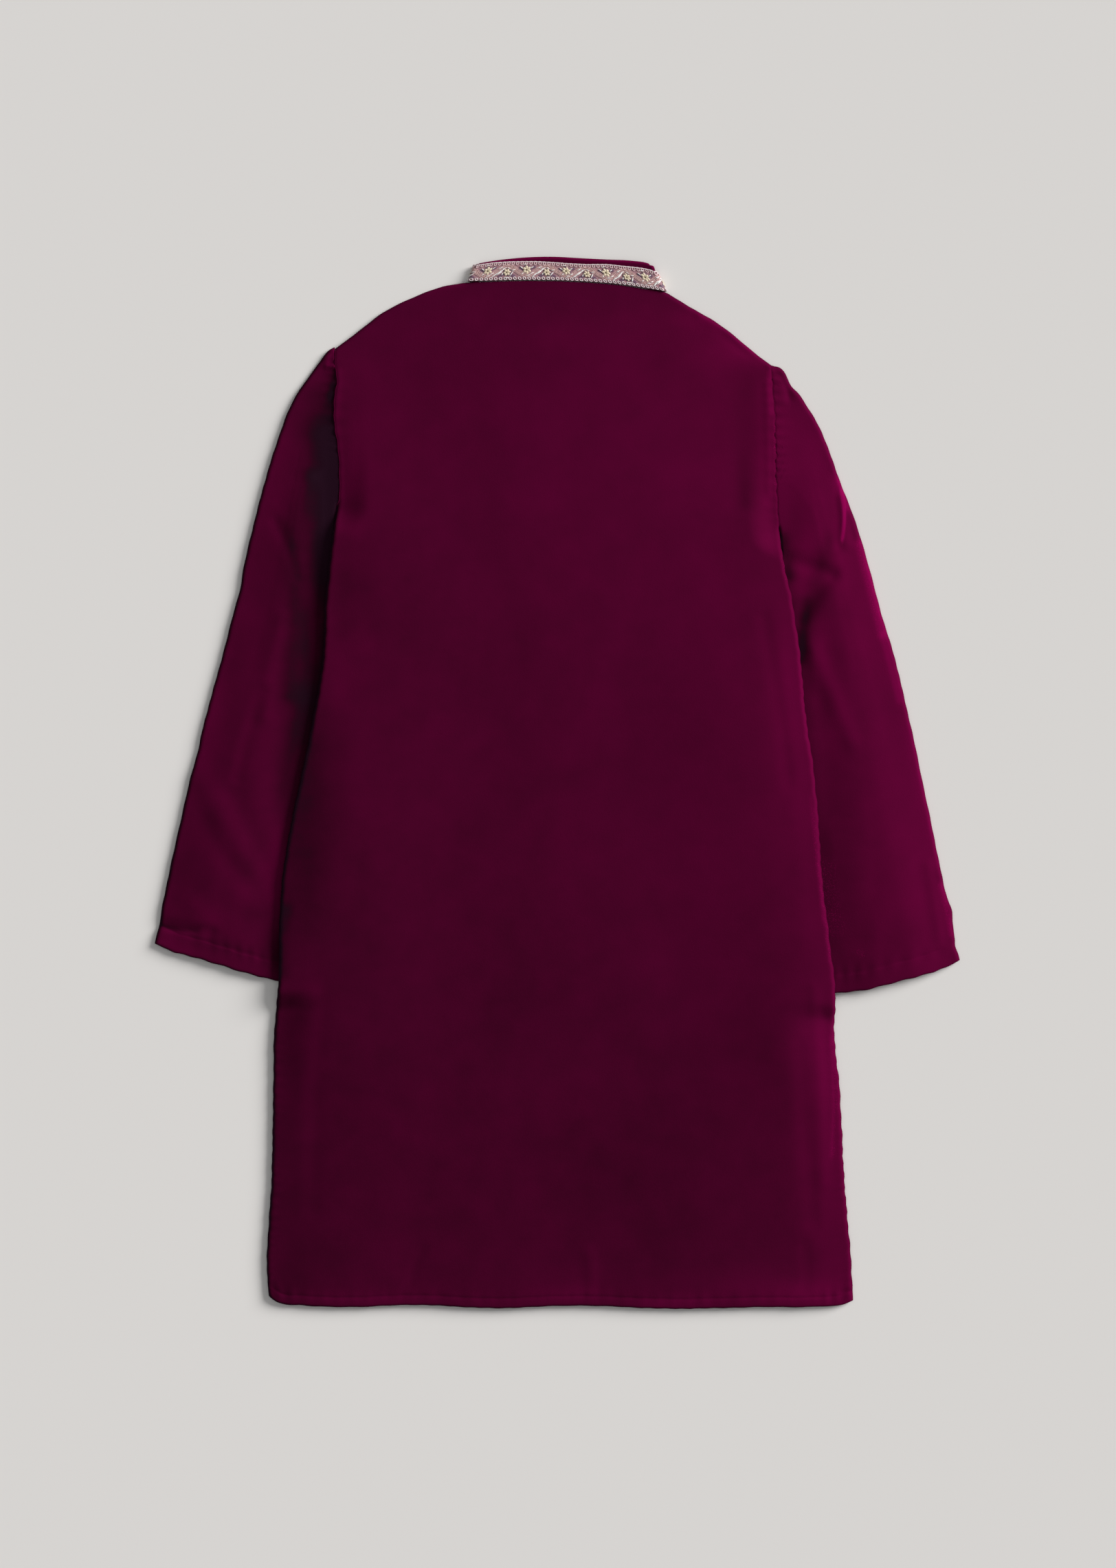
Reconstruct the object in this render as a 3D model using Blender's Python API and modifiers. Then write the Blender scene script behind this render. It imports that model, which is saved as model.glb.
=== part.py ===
"""A child's velvet kurta, laid flat on its front with its back up.

The neck points to +Y and the garment's back faces +Z. It rests on the plane z = 0. Sizes in the tables
are in millimetres, seen from above, and become metres where the meshes are made. The two sides differ a
little, because the garment was laid out by hand.
"""
from collections import namedtuple

import bmesh
import bpy
import numpy as np

MM = 0.001

# Cloth
VELVET = 1.5
HEM_CLOTH = 2.2
HEM_DEPTH = 7.5
CUFF_CLOTH = 2.1
CUFF_HEM_DEPTH = 16.0
SEAM_GAP = 0.3
SEAM_START = 4.0
SEAM_RISE = 3.0
SEAM_END = 8.0
EDGE_GAP = 0.56
SLIT_GAP = 1.8
FOLD_RADIUS = 2.9

# Heights of the flat layers
BODY_EDGE_HEIGHT = 5.0
BODY_SWELL = 0.8
SWELL_REACH = 40.0
SLEEVE_EDGE_HEIGHT = 4.8
SLEEVE_SWELL = 1.9
SWELL_START = 6.0
SWELL_RISE = 30.0
SWELL_SHARE = 0.35
SWELL_FALL = 60.0
PRESS_START = 10.0
PRESS_REACH = 12.0

# The body rises where a sleeve is tucked under it
LIFT = {"left": 6.6, "right": 5.8}
LIFT_START = 26.0
LIFT_MARGIN = 4.0
LIFT_SLOPE = 26.0
LIFT_END = 34.0

# The upper face eases over the sleeves and the placket more gently than the lower face
EASE_SLOPE = 110.0
EASE_START = 70.0
EASE_END = 110.0
EASE_SEAM = 22.0
PLACKET_EASE = 120.0

# Side slits, from the hem up
SLIT_HEIGHT = 190.0
SLIT_BLEND = 12.0

# Collar
NECK_CENTRE = (7.5, 361.0)
NECK_HALF_WIDTH = 71.7
NECK_DROP = 50.0
COLLAR_CENTRE = (5.8, 376.5)
COLLAR_HALF_WIDTH = 65.0
COLLAR_DROP = 46.0
COLLAR_CLOTH = 1.5
COLLAR_UPPER = 5.6
COLLAR_LOWER = 1.15
COLLAR_BULGE = 2.0
COLLAR_END_GAP = 1.0
COLLAR_FRONT_GAP = 1.3
COLLAR_TURN_START = 14.0
TRIM_CLOTH = 0.8
TRIM_WIDTH = 14.2
TRIM_SET_IN = 0.1
BAND_MARGIN = 0.6

# Front opening
OPENING_LENGTH = 205.0
OPENING_GAP = 0.4
PLACKET_WIDTH = 28.0
PLACKET_LENGTH = 214.0
PLACKET_CLOTH = 1.1
PLACKET_RISE = 3.5
PLACKET_SLOPE = 26.0
PLACKET_LEAN = 0.007
PLACKET_FLAT = 4.0
PLACKET_DROP = 1.5
PLACKET_FADE = 52.0
BUTTON_RADIUS = 5.0
BUTTON_FACETS = 20
BUTTON_HEIGHT = 1.7
BUTTON_BEVEL = 0.4
BUTTON_COUNT = 4
BUTTON_FIRST = 16.0
BUTTON_PITCH = 50.0

# Side edges of the body, hem to underarm
Side = namedtuple("Side", "left_x left_y right_x right_y")
SIDES = [
    Side(-209.8, -373.6, 215.4, -376.6),
    Side(-210.6, -366.0, 215.0, -366.0),
    Side(-207.8, -285.0, 208.8, -285.0),
    Side(-206.6, -220.0, 205.4, -220.0),
    Side(-206.0, -182.0, 201.8, -184.0),
    Side(-202.5, -142.0, 202.2, -152.0),
    Side(-202.0, -105.0, 198.4, -118.0),
    Side(-199.4, -66.0, 192.6, -69.0),
    Side(-193.0, -27.0, 189.8, -26.0),
    Side(-184.0, 15.0, 186.6, 14.0),
    Side(-177.0, 50.0, 181.4, 52.0),
    Side(-170.4, 90.0, 176.6, 94.0),
    Side(-168.4, 132.0, 170.4, 134.0),
    Side(-164.6, 168.0, 164.0, 164.0),
    Side(-160.0, 202.3, 161.6, 184.8),
]

# Armhole seams, underarm to shoulder
Armhole = namedtuple("Armhole", "left_x left_y right_x right_y")
ARMHOLES = [
    Armhole(-160.0, 202.3, 161.6, 184.8),
    Armhole(-160.2, 222.0, 159.6, 214.0),
    Armhole(-160.6, 246.0, 159.0, 246.0),
    Armhole(-162.2, 266.0, 157.8, 274.0),
    Armhole(-162.0, 290.0, 156.4, 292.0),
    Armhole(-161.5, 316.3, 155.6, 304.3),
]

# Shoulder folds, sleeve seam to neck
Shoulder = namedtuple("Shoulder", "left_x left_y right_x right_y")
SHOULDERS = [
    Shoulder(-161.5, 316.3, 155.6, 304.3),
    Shoulder(-145.0, 328.4, 144.5, 312.6),
    Shoulder(-125.0, 342.4, 131.0, 323.6),
    Shoulder(-102.0, 354.6, 113.0, 336.2),
    Shoulder(-82.0, 361.8, 95.0, 347.4),
    Shoulder(-64.2, 364.6, 79.2, 357.3),
]

# Back neckline and hem, left to right
Level = namedtuple("Level", "x y")
BACK_NECK = [
    Level(-64.2, 364.6),
    Level(-30.0, 365.4),
    Level(10.0, 364.9),
    Level(45.0, 362.4),
    Level(79.2, 357.3),
]
HEM = [
    Level(-209.8, -373.6),
    Level(-205.0, -377.2),
    Level(-185.0, -380.2),
    Level(-150.0, -381.3),
    Level(-105.0, -379.8),
    Level(-45.0, -382.2),
    Level(10.0, -380.3),
    Level(85.0, -382.6),
    Level(150.0, -381.4),
    Level(190.0, -381.0),
    Level(208.0, -379.6),
    Level(215.4, -376.6),
]

# Top edge of the collar at the back, left to right
COLLAR_TOP = [
    Level(-59.6, 377.4),
    Level(-45.0, 379.9),
    Level(-22.5, 382.2),
    Level(-5.0, 382.7),
    Level(16.0, 381.7),
    Level(35.0, 380.7),
    Level(55.0, 379.7),
    Level(64.5, 378.4),
    Level(69.6, 376.6),
]

# Outer fold of each sleeve, shoulder to cuff
SleeveEdge = namedtuple("SleeveEdge", "left_x left_y right_x right_y")
SLEEVE_OUTER = [
    SleeveEdge(-161.5, 316.3, 155.6, 304.3),
    SleeveEdge(-168.0, 312.0, 165.5, 300.6),
    SleeveEdge(-178.0, 299.8, 178.2, 280.4),
    SleeveEdge(-191.4, 279.8, 190.4, 260.0),
    SleeveEdge(-206.8, 239.8, 205.6, 220.6),
    SleeveEdge(-219.4, 195.0, 217.2, 190.0),
    SleeveEdge(-236.8, 120.0, 236.8, 120.0),
    SleeveEdge(-255.4, 52.0, 254.0, 55.0),
    SleeveEdge(-271.4, -15.0, 268.6, -15.0),
    SleeveEdge(-284.6, -75.0, 281.2, -75.0),
    SleeveEdge(-293.0, -116.8, 293.0, -128.8),
]

# Hidden inner fold of each sleeve: how far below the underarm, and how far it is tucked under the body
Tuck = namedtuple("Tuck", "below left right")
TUCKS = [
    Tuck(0.0, -0.7, -0.7),
    Tuck(14.0, -0.7, -0.7),
    Tuck(36.0, 7.0, 6.0),
    Tuck(66.0, 24.0, 22.0),
    Tuck(105.0, 33.0, 31.0),
    Tuck(150.0, 31.0, 30.0),
    Tuck(210.0, 27.0, 26.0),
    Tuck(280.0, 19.0, 18.0),
    Tuck(349.0, 12.5, 12.5),
]
CUFF_PULL_START = 250.0
CUFF_TUCK = {"left": (-190.0, -147.6), "right": (189.8, -156.6)}
CUFF_BOW = {"left": 2.6, "right": 5.2}

# Soft folds in the upper faces: a trough has a positive depth and a ridge a negative one
Fold = namedtuple("Fold", "piece x0 y0 x1 y1 half_width depth")
FOLDS = [
    Fold("sleeve_left", -168.0, 296.0, -178.0, 84.0, 13.0, 1.8),
    Fold("sleeve_left", -236.0, -8.0, -206.0, -70.0, 9.0, 0.7),
    Fold("sleeve_left", -262.0, 6.0, -226.0, -58.0, 9.0, -0.5),
    Fold("sleeve_left", -288.0, -102.0, -252.0, -108.0, 4.0, 0.7),
    Fold("sleeve_right", 170.0, 162.0, 200.0, 152.0, 6.0, 1.2),
    Fold("sleeve_right", 176.0, 118.0, 198.0, 150.0, 6.0, 1.2),
    Fold("sleeve_right", 186.0, 96.0, 214.0, 30.0, 7.0, -0.9),
    Fold("sleeve_right", 207.0, 208.0, 211.0, 174.0, 4.0, -0.7),
    Fold("sleeve_right", 190.0, 60.0, 196.0, -20.0, 9.0, 0.6),
    Fold("back_panel", 136.0, 288.0, 133.0, 205.0, 8.0, 0.4),
    Fold("back_panel", -146.0, 116.0, -150.0, -20.0, 11.0, -0.3),
    Fold("back_panel", 166.0, 60.0, 178.0, -110.0, 9.0, -0.3),
]

# Colours of the pieces
PLUM = (0.061, 0.0012, 0.017)
DEEP_PLUM = (0.052, 0.001, 0.016)
SLEEVE_PLUM = (0.070, 0.0018, 0.021)
LACE = (0.40, 0.24, 0.28)
HORN = (0.10, 0.02, 0.04)


def smooth(value):
    """Ease from 0 to 1."""
    value = np.clip(value, 0.0, 1.0)
    return value * value * (3.0 - 2.0 * value)


def curve(points, count=260):
    """A smooth plan curve through a few points, as evenly spaced points."""
    points = np.array(points, float)
    steps = np.linalg.norm(np.diff(points, axis=0), axis=1)
    along = np.concatenate([[0.0], np.cumsum(steps)])
    slopes = np.gradient(points, along, axis=0)
    fine = np.linspace(0.0, along[-1], count * 4)
    span = np.clip(np.searchsorted(along, fine, side="right") - 1, 0, len(steps) - 1)
    length = steps[span][:, None]
    t = ((fine - along[span]) / steps[span])[:, None]
    line = (
        (2 * t**3 - 3 * t**2 + 1) * points[span]
        + (t**3 - 2 * t**2 + t) * length * slopes[span]
        + (3 * t**2 - 2 * t**3) * points[span + 1]
        + (t**3 - t**2) * length * slopes[span + 1]
    )
    return at(line, np.linspace(0.0, 1.0, count))


def at(line, fractions):
    """Points of a line at fractions of its length."""
    steps = np.linalg.norm(np.diff(line, axis=0), axis=1)
    along = np.concatenate([[0.0], np.cumsum(steps)]) / steps.sum()
    return np.stack([np.interp(fractions, along, line[:, k]) for k in range(line.shape[1])], axis=-1)


def side_of(rows, side):
    """The points of one side of a table that has left and right columns."""
    return [(getattr(row, side + "_x"), getattr(row, side + "_y")) for row in rows]


def distance_to(lines, x, y):
    """Plan distance from each point to the nearest of some lines."""
    spots = np.stack([x, y], axis=-1)[..., None, :]
    nearest = np.full(np.shape(x), np.inf)
    for line in lines:
        start, run = line[:-1], np.diff(line, axis=0)
        share = np.clip(((spots - start) * run).sum(-1) / (run * run).sum(-1), 0.0, 1.0)
        gap = np.linalg.norm(spots - start - share[..., None] * run, axis=-1)
        nearest = np.minimum(nearest, gap.min(-1))
    return nearest


def patch(bottom, top, left, right, us, vs):
    """Plan points of a cloth between four boundary lines, in rows from bottom to top."""
    u, v = us[None, :, None], vs[:, None, None]
    corners = (
        (1 - u) * (1 - v) * bottom[0] + u * (1 - v) * bottom[-1] + (1 - u) * v * top[0] + u * v * top[-1]
    )
    return (1 - v) * bottom[None] + v * top[None] + (1 - u) * left[:, None] + u * right[:, None] - corners


SIDE_LINE = {side: curve(side_of(SIDES, side)) for side in ("left", "right")}
ARMHOLE_LINE = {side: curve(side_of(ARMHOLES, side)) for side in ("left", "right")}
SHOULDER_LINE = {side: curve(side_of(SHOULDERS, side)) for side in ("left", "right")}
OUTER_LINE = {side: curve(side_of(SLEEVE_OUTER, side)) for side in ("left", "right")}
OUTWARD = {"left": -1.0, "right": 1.0}
BODY_FOLDS = [*SIDE_LINE.values(), *SHOULDER_LINE.values()]


def side_x(side, y):
    """Where one side edge of the body lies at a height y of the plan."""
    line = SIDE_LINE[side]
    return np.interp(y, line[:, 1], line[:, 0])


def tuck_line(side):
    """The hidden inner fold of a sleeve, underarm to cuff."""
    top = SIDE_LINE[side][-1, 1]
    below = np.linspace(0.0, TUCKS[-1].below, 60)
    rows = curve([(row.below, getattr(row, side)) for row in TUCKS])
    depth = np.interp(below, rows[:, 0], rows[:, 1])
    line = np.stack([side_x(side, top - below) - OUTWARD[side] * depth, top - below], axis=-1)
    end = np.array(CUFF_TUCK[side])
    pull = smooth((below - CUFF_PULL_START) / (TUCKS[-1].below - CUFF_PULL_START))[:, None]
    return at(line + pull * (end - line[-1]), np.linspace(0.0, 1.0, 260))


INNER_LINE = {side: tuck_line(side) for side in ("left", "right")}


def tuck_at(side, y):
    """How far a sleeve reaches under the body at a height y of the plan."""
    line = INNER_LINE[side][::-1]
    return (side_x(side, y) - np.interp(y, line[:, 1], line[:, 0])) * OUTWARD[side]


def sleeve_lift(side, x, y):
    """How far the tucked sleeve holds up the lower face of the body."""
    inward = (side_x(side, y) - x) * OUTWARD[side]
    across = 1.0 - smooth((inward - np.maximum(tuck_at(side, y), 0.0) - LIFT_MARGIN) / LIFT_SLOPE)
    below = SIDE_LINE[side][-1, 1] - y
    cuff = INNER_LINE[side][-1, 1] - LIFT_MARGIN - y
    return LIFT[side] * across * smooth(below / LIFT_START) * (1.0 - smooth(cuff / LIFT_END))


def sleeve_ease(side, x, y):
    """How far the tucked sleeve raises the upper face of the body."""
    inward = (side_x(side, y) - x) * OUTWARD[side]
    across = 1.0 - smooth((inward - np.maximum(tuck_at(side, y), 0.0) - LIFT_MARGIN) / EASE_SLOPE)
    below = SIDE_LINE[side][-1, 1] - y
    cuff = INNER_LINE[side][-1, 1] - LIFT_MARGIN - y
    past_seam = smooth(distance_to([ARMHOLE_LINE[side]], x, y) / EASE_SEAM)
    start = smooth((below + EASE_START) / (EASE_START + LIFT_START))
    start *= np.maximum(past_seam, smooth(below / LIFT_START))
    return LIFT[side] * across * start * (1.0 - smooth(cuff / EASE_END))


def placket_middle(y):
    """The x of the front's centre line at a height y of the plan."""
    return NECK_CENTRE[0] + (y - NECK_CENTRE[1]) * PLACKET_LEAN


def placket_lift(x, y, slope=PLACKET_SLOPE):
    """How far the buttons and the placket hold up the front panel, or the back panel with a gentler slope."""
    half = PLACKET_WIDTH / 2 + PLACKET_FLAT
    across = 1.0 - smooth((np.abs(x - placket_middle(y)) - half) / slope)
    top = NECK_CENTRE[1] - NECK_DROP
    end = top - PLACKET_LENGTH - PLACKET_DROP
    along = smooth((y - end + slope) / slope) * (1.0 - smooth((y - top) / PLACKET_FADE))
    return PLACKET_RISE * across * along


def floor_of_body(x, y):
    """Height of the body's lower face away from its folds."""
    return np.maximum(sleeve_lift("left", x, y), sleeve_lift("right", x, y)) + placket_lift(x, y)


def top_of_body(x, y):
    """Height by which everything underneath raises the body's upper face."""
    eased = np.maximum(sleeve_ease("left", x, y), sleeve_ease("right", x, y))
    return np.maximum(eased + placket_lift(x, y, PLACKET_EASE), floor_of_body(x, y))


def body_height(x, y):
    """Height between the two outer faces of the body away from its folds."""
    return BODY_EDGE_HEIGHT + BODY_SWELL * smooth(distance_to(BODY_FOLDS, x, y) / SWELL_REACH)


def folds_in(piece, x, y):
    """How much lower the soft folds make the upper face of a piece."""
    drop = np.zeros(np.shape(x))
    for fold in FOLDS:
        if fold.piece == piece:
            line = np.array([(fold.x0, fold.y0), (fold.x1, fold.y1)])
            drop += fold.depth * np.exp(-((distance_to([line], x, y) / fold.half_width) ** 2))
    return drop


def rounded(distance, half_height, radius=FOLD_RADIUS):
    """How far an outer face has turned towards the middle near a rolled fold."""
    reach = np.clip(1.0 - distance / radius, 0.0, 1.0)
    return half_height * (1.0 - np.sqrt(1.0 - reach**2))


def edge_gap(y):
    """The gap between the panels along their edges: a seam above the slits, and open below."""
    slit_top = HEM[0].y + SLIT_HEIGHT
    return EDGE_GAP + (SLIT_GAP - EDGE_GAP) * smooth((slit_top - y) / SLIT_BLEND)


def panel_heights(name, x, y):
    """Height of a panel's outer face."""
    low = floor_of_body(x, y)
    tall = body_height(x, y)
    turned = rounded(distance_to(BODY_FOLDS, x, y), (tall - edge_gap(y)) / 2)
    if name == "front_panel":
        return low + turned
    return top_of_body(x, y) + tall - turned - folds_in(name, x, y)


def velvet(name, colour, roughness=0.85, metallic=0.0):
    """A plain material."""
    made = bpy.data.materials.new(name)
    made.use_nodes = True
    shader = made.node_tree.nodes["Principled BSDF"]
    shader.inputs["Base Color"].default_value = (*colour, 1.0)
    shader.inputs["Roughness"].default_value = roughness
    shader.inputs["Metallic"].default_value = metallic
    return made


def grid_object(name, points, material, closed=False, drop=None):
    """A sheet of quads through rows of points, from a grid primitive whose vertices are moved."""
    rows, columns = points.shape[:2]
    mesh = bpy.data.meshes.new(name)
    work = bmesh.new()
    bmesh.ops.create_grid(work, x_segments=columns - 1, y_segments=rows - 1, size=1.0)
    place = {}
    for vertex in work.verts:
        column = round((vertex.co.x + 1.0) / 2.0 * (columns - 1))
        row = round((vertex.co.y + 1.0) / 2.0 * (rows - 1))
        place[vertex] = (row, column)
        vertex.co = points[row, column] * MM
    if drop is not None:
        gone = [face for face in work.faces if drop([place[vertex] for vertex in face.verts])]
        bmesh.ops.delete(work, geom=gone, context="FACES")
    if closed:
        bmesh.ops.remove_doubles(work, verts=work.verts, dist=0.00001)
    work.to_mesh(mesh)
    work.free()
    mesh.shade_smooth()
    mesh.set_sharp_from_angle(angle=np.radians(50.0))
    mesh.materials.append(material)
    made = bpy.data.objects.new(name, mesh)
    GARMENT.objects.link(made)
    return made


def thicken(made, thickness, offset, thick=None, thin_share=1.0):
    """Give a sheet its cloth thickness. Points outside the thick group get the thin share."""
    solid = made.modifiers.new("cloth", "SOLIDIFY")
    solid.thickness = thickness * MM
    solid.offset = offset
    solid.use_quality_normals = True
    if thick is not None:
        group = made.vertex_groups.new(name="hem")
        group.add([vertex.index for vertex in made.data.vertices if thick(vertex.co / MM)], 1.0, "REPLACE")
        solid.vertex_group = group.name
        solid.thickness_vertex_group = thin_share


def mirrored(values):
    """Fractions from 0 to 1 whose upper half mirrors the lower half, which ends at 0.5 or below."""
    upper = [1.0 - value for value in values if value != 0.5]
    return np.array(sorted({*values, *upper}))


# Grid lines of the body, as distances from the hem, with the last ones close to the shoulder fold
HEM_ROWS = [0.0, 1.5, 7.0, 8.5]
SKIRT_ROWS = [34.0, 72.0, 112.0, 150.0, 184.0, 200.0, 216.0, 232.0, 250.0]
CHEST_ROWS = [276.0, 308.0, 342.0, 376.0, 410.0, 442.0, 474.0, 504.0, 530.0, 548.0, 559.0, 568.0, 574.0]
SIDE_ROWS = [*HEM_ROWS, *SKIRT_ROWS, *CHEST_ROWS]
ARM_ROWS = [9.0, 28.0, 50.0, 72.0, 91.0, 103.0, 109.5, 112.2, 113.4, 113.96, 114.0]
SIDE_LENGTH = SIDE_ROWS[-1]
ARM_LENGTH = ARM_ROWS[-1]
BODY_V = np.array([*SIDE_ROWS, *(SIDE_LENGTH + row for row in ARM_ROWS)]) / (SIDE_LENGTH + ARM_LENGTH)
FOLD_COLUMNS = [0.0, 0.00012, 0.0018, 0.0078]
LEFT_NECK = 0.5 * (SHOULDERS[-1].left_x - SHOULDERS[0].left_x) / (NECK_CENTRE[0] - SHOULDERS[0].left_x)
RIGHT_NECK = 0.5 + 0.5 * (SHOULDERS[-1].right_x - NECK_CENTRE[0]) / (SHOULDERS[0].right_x - NECK_CENTRE[0])


def body_sides(vs):
    """The left and right boundaries of a panel at the row fractions."""
    share = SIDE_LENGTH / (SIDE_LENGTH + ARM_LENGTH)
    edges = []
    for side in ("left", "right"):
        below = at(SIDE_LINE[side], np.clip(vs / share, 0.0, 1.0))
        above = at(ARMHOLE_LINE[side], np.clip((vs - share) / (1.0 - share), 0.0, 1.0))
        edge = np.where(vs[:, None] <= share, below, above)
        above_underarm = edge[:, 1] - SIDE_LINE[side][-1, 1]
        edge[:, 0] -= OUTWARD[side] * SEAM_GAP * smooth((above_underarm + SEAM_START) / SEAM_RISE)
        edges.append(edge)
    return edges


def top_edge(us, neck):
    """The shoulders and a neckline as one boundary, at the column fractions."""
    left = at(SHOULDER_LINE["left"], np.clip(us / LEFT_NECK, 0.0, 1.0))
    right = at(SHOULDER_LINE["right"], np.clip((1.0 - us) / (1.0 - RIGHT_NECK), 0.0, 1.0))
    middle = neck(us)
    edge = np.where(us[:, None] <= LEFT_NECK, left, np.where(us[:, None] >= RIGHT_NECK, right, middle))
    inside = (us > LEFT_NECK - 0.002) & (us < RIGHT_NECK + 0.002)
    edge[inside, 1] -= SEAM_GAP
    return edge


def back_neck(us):
    """The back neckline, spread by column fraction."""
    line = curve(BACK_NECK)
    x = np.interp(us, [LEFT_NECK, 0.5, RIGHT_NECK], [BACK_NECK[0].x, NECK_CENTRE[0], BACK_NECK[-1].x])
    return np.stack([x, np.interp(x, line[:, 0], line[:, 1])], axis=-1)


def front_neck(us):
    """The deep round front neckline, spread by column fraction."""
    x = np.interp(us, [LEFT_NECK, 0.5, RIGHT_NECK], [BACK_NECK[0].x, NECK_CENTRE[0], BACK_NECK[-1].x])
    across = np.clip((x - NECK_CENTRE[0]) / NECK_HALF_WIDTH, -1.0, 1.0)
    chord = np.interp(x, [BACK_NECK[0].x, BACK_NECK[-1].x], [BACK_NECK[0].y, BACK_NECK[-1].y])
    return np.stack([x, chord - NECK_DROP * np.sqrt(1.0 - across**2)], axis=-1)


def hem_line(us):
    """The hem at the column fractions."""
    return at(curve(HEM), us)


def body_panel(name, us, neck, offset, drop=None):
    """One of the two large panels, with its hem turned up inside."""
    left, right = body_sides(BODY_V)
    plan = patch(hem_line(us), top_edge(us, neck), left, right, us, BODY_V)
    x, y = plan[..., 0], plan[..., 1]
    points = np.stack([x, y, panel_heights(name, x, y)], axis=-1)
    made = grid_object(name, points, velvet(name + "_velvet", PLUM), drop=drop)
    hem = curve(HEM)
    thicken(
        made,
        HEM_CLOTH,
        offset,
        thick=lambda spot: spot.y < np.interp(spot.x, hem[:, 0], hem[:, 1]) + HEM_DEPTH,
        thin_share=VELVET / HEM_CLOTH,
    )
    return made


def back_panel():
    """The back, nape to hem."""
    left = [*FOLD_COLUMNS, 0.025, 0.06, 0.11, 0.17, 0.235]
    right = [1.0 - value for value in [*FOLD_COLUMNS, 0.025, 0.06, 0.11, 0.17, 0.22]]
    left_neck = [LEFT_NECK - 0.004, LEFT_NECK, LEFT_NECK + 0.012]
    right_neck = [RIGHT_NECK - 0.012, RIGHT_NECK, RIGHT_NECK + 0.004]
    us = np.array(sorted({*left, *left_neck, 0.34, 0.42, 0.5, 0.58, 0.66, *right_neck, *right}))
    return body_panel("back_panel", us, back_neck, offset=-1.0)


def front_panel():
    """The front, with a deep neck and the opening at its centre."""
    turns = [0.0, 14.0, 30.0, 48.0, 68.0]
    spread = [1.0 - np.cos(np.radians(turn)) for turn in turns]
    left = [LEFT_NECK + (0.5 - LEFT_NECK) * share for share in spread]
    right = [RIGHT_NECK - (RIGHT_NECK - 0.5) * share for share in spread]
    slit = OPENING_GAP / (SIDES[-1].right_x - SIDES[-1].left_x)
    outer = [*FOLD_COLUMNS, 0.025, 0.07, 0.13, 0.2]
    near_slit = [0.447, 0.5 - slit, 0.5 + slit, 0.553]
    us = np.array(sorted({*outer, *(1.0 - value for value in outer), *left, *right, *near_slit}))
    middle = int(np.argmin(np.abs(us - (0.5 - slit))))
    open_rows = BODY_V > 1.0 - OPENING_LENGTH / (SIDE_LENGTH + ARM_LENGTH)

    def in_opening(corners):
        rows = [row for row, column in corners]
        columns = [column for row, column in corners]
        return min(columns) == middle and max(columns) == middle + 1 and open_rows[min(rows)]

    return body_panel("front_panel", us, front_neck, offset=1.0, drop=in_opening)


# Grid lines of a sleeve: along it from the cuff, and across it as fractions of its width
CUFF_ROWS = [0.0, 4.0, 12.0, 22.0, 34.0, 48.0, 64.0, 84.0, 108.0]
MIDDLE_ROWS = [138.0, 172.0, 210.0, 250.0, 292.0, 334.0, 374.0, 410.0]
CAP_ROWS = [434.0, 435.5, 448.0, 450.0]
SLEEVE_V = np.array([*CUFF_ROWS, *MIDDLE_ROWS, *CAP_ROWS]) / CAP_ROWS[-1]
ROLL = [0.0, 0.0035, 0.0105, 0.026]
UPPER_U = mirrored([*ROLL, 0.075, 0.16, 0.26, 0.36, 0.44, 0.5])
LOWER_U = mirrored([*ROLL, 0.13, 0.34])


def sleeve_top(side, x, y, across):
    """Height of a sleeve's upper face away from its folds."""
    near = distance_to([OUTER_LINE[side], INNER_LINE[side]], x, y)
    at_seam = BODY_EDGE_HEIGHT + BODY_SWELL
    height = SLEEVE_EDGE_HEIGHT + (at_seam - SLEEVE_EDGE_HEIGHT) * smooth(near / SWELL_REACH)
    tucked = (side_x(side, y) - x) * OUTWARD[side]
    below = SIDE_LINE[side][-1, 1] - y
    swell = smooth(across / SWELL_SHARE) * smooth((-tucked - SWELL_START) / SWELL_RISE)
    raised = height + SLEEVE_SWELL * swell * smooth((below + SWELL_FALL) / SWELL_FALL)
    raised -= folds_in("sleeve_" + side, x, y)
    pressed = smooth((tucked + PRESS_START) / PRESS_REACH) * smooth(below / PRESS_START)
    return raised * (1.0 - pressed) + np.minimum(raised, SLEEVE_EDGE_HEIGHT + 0.1) * pressed


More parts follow.
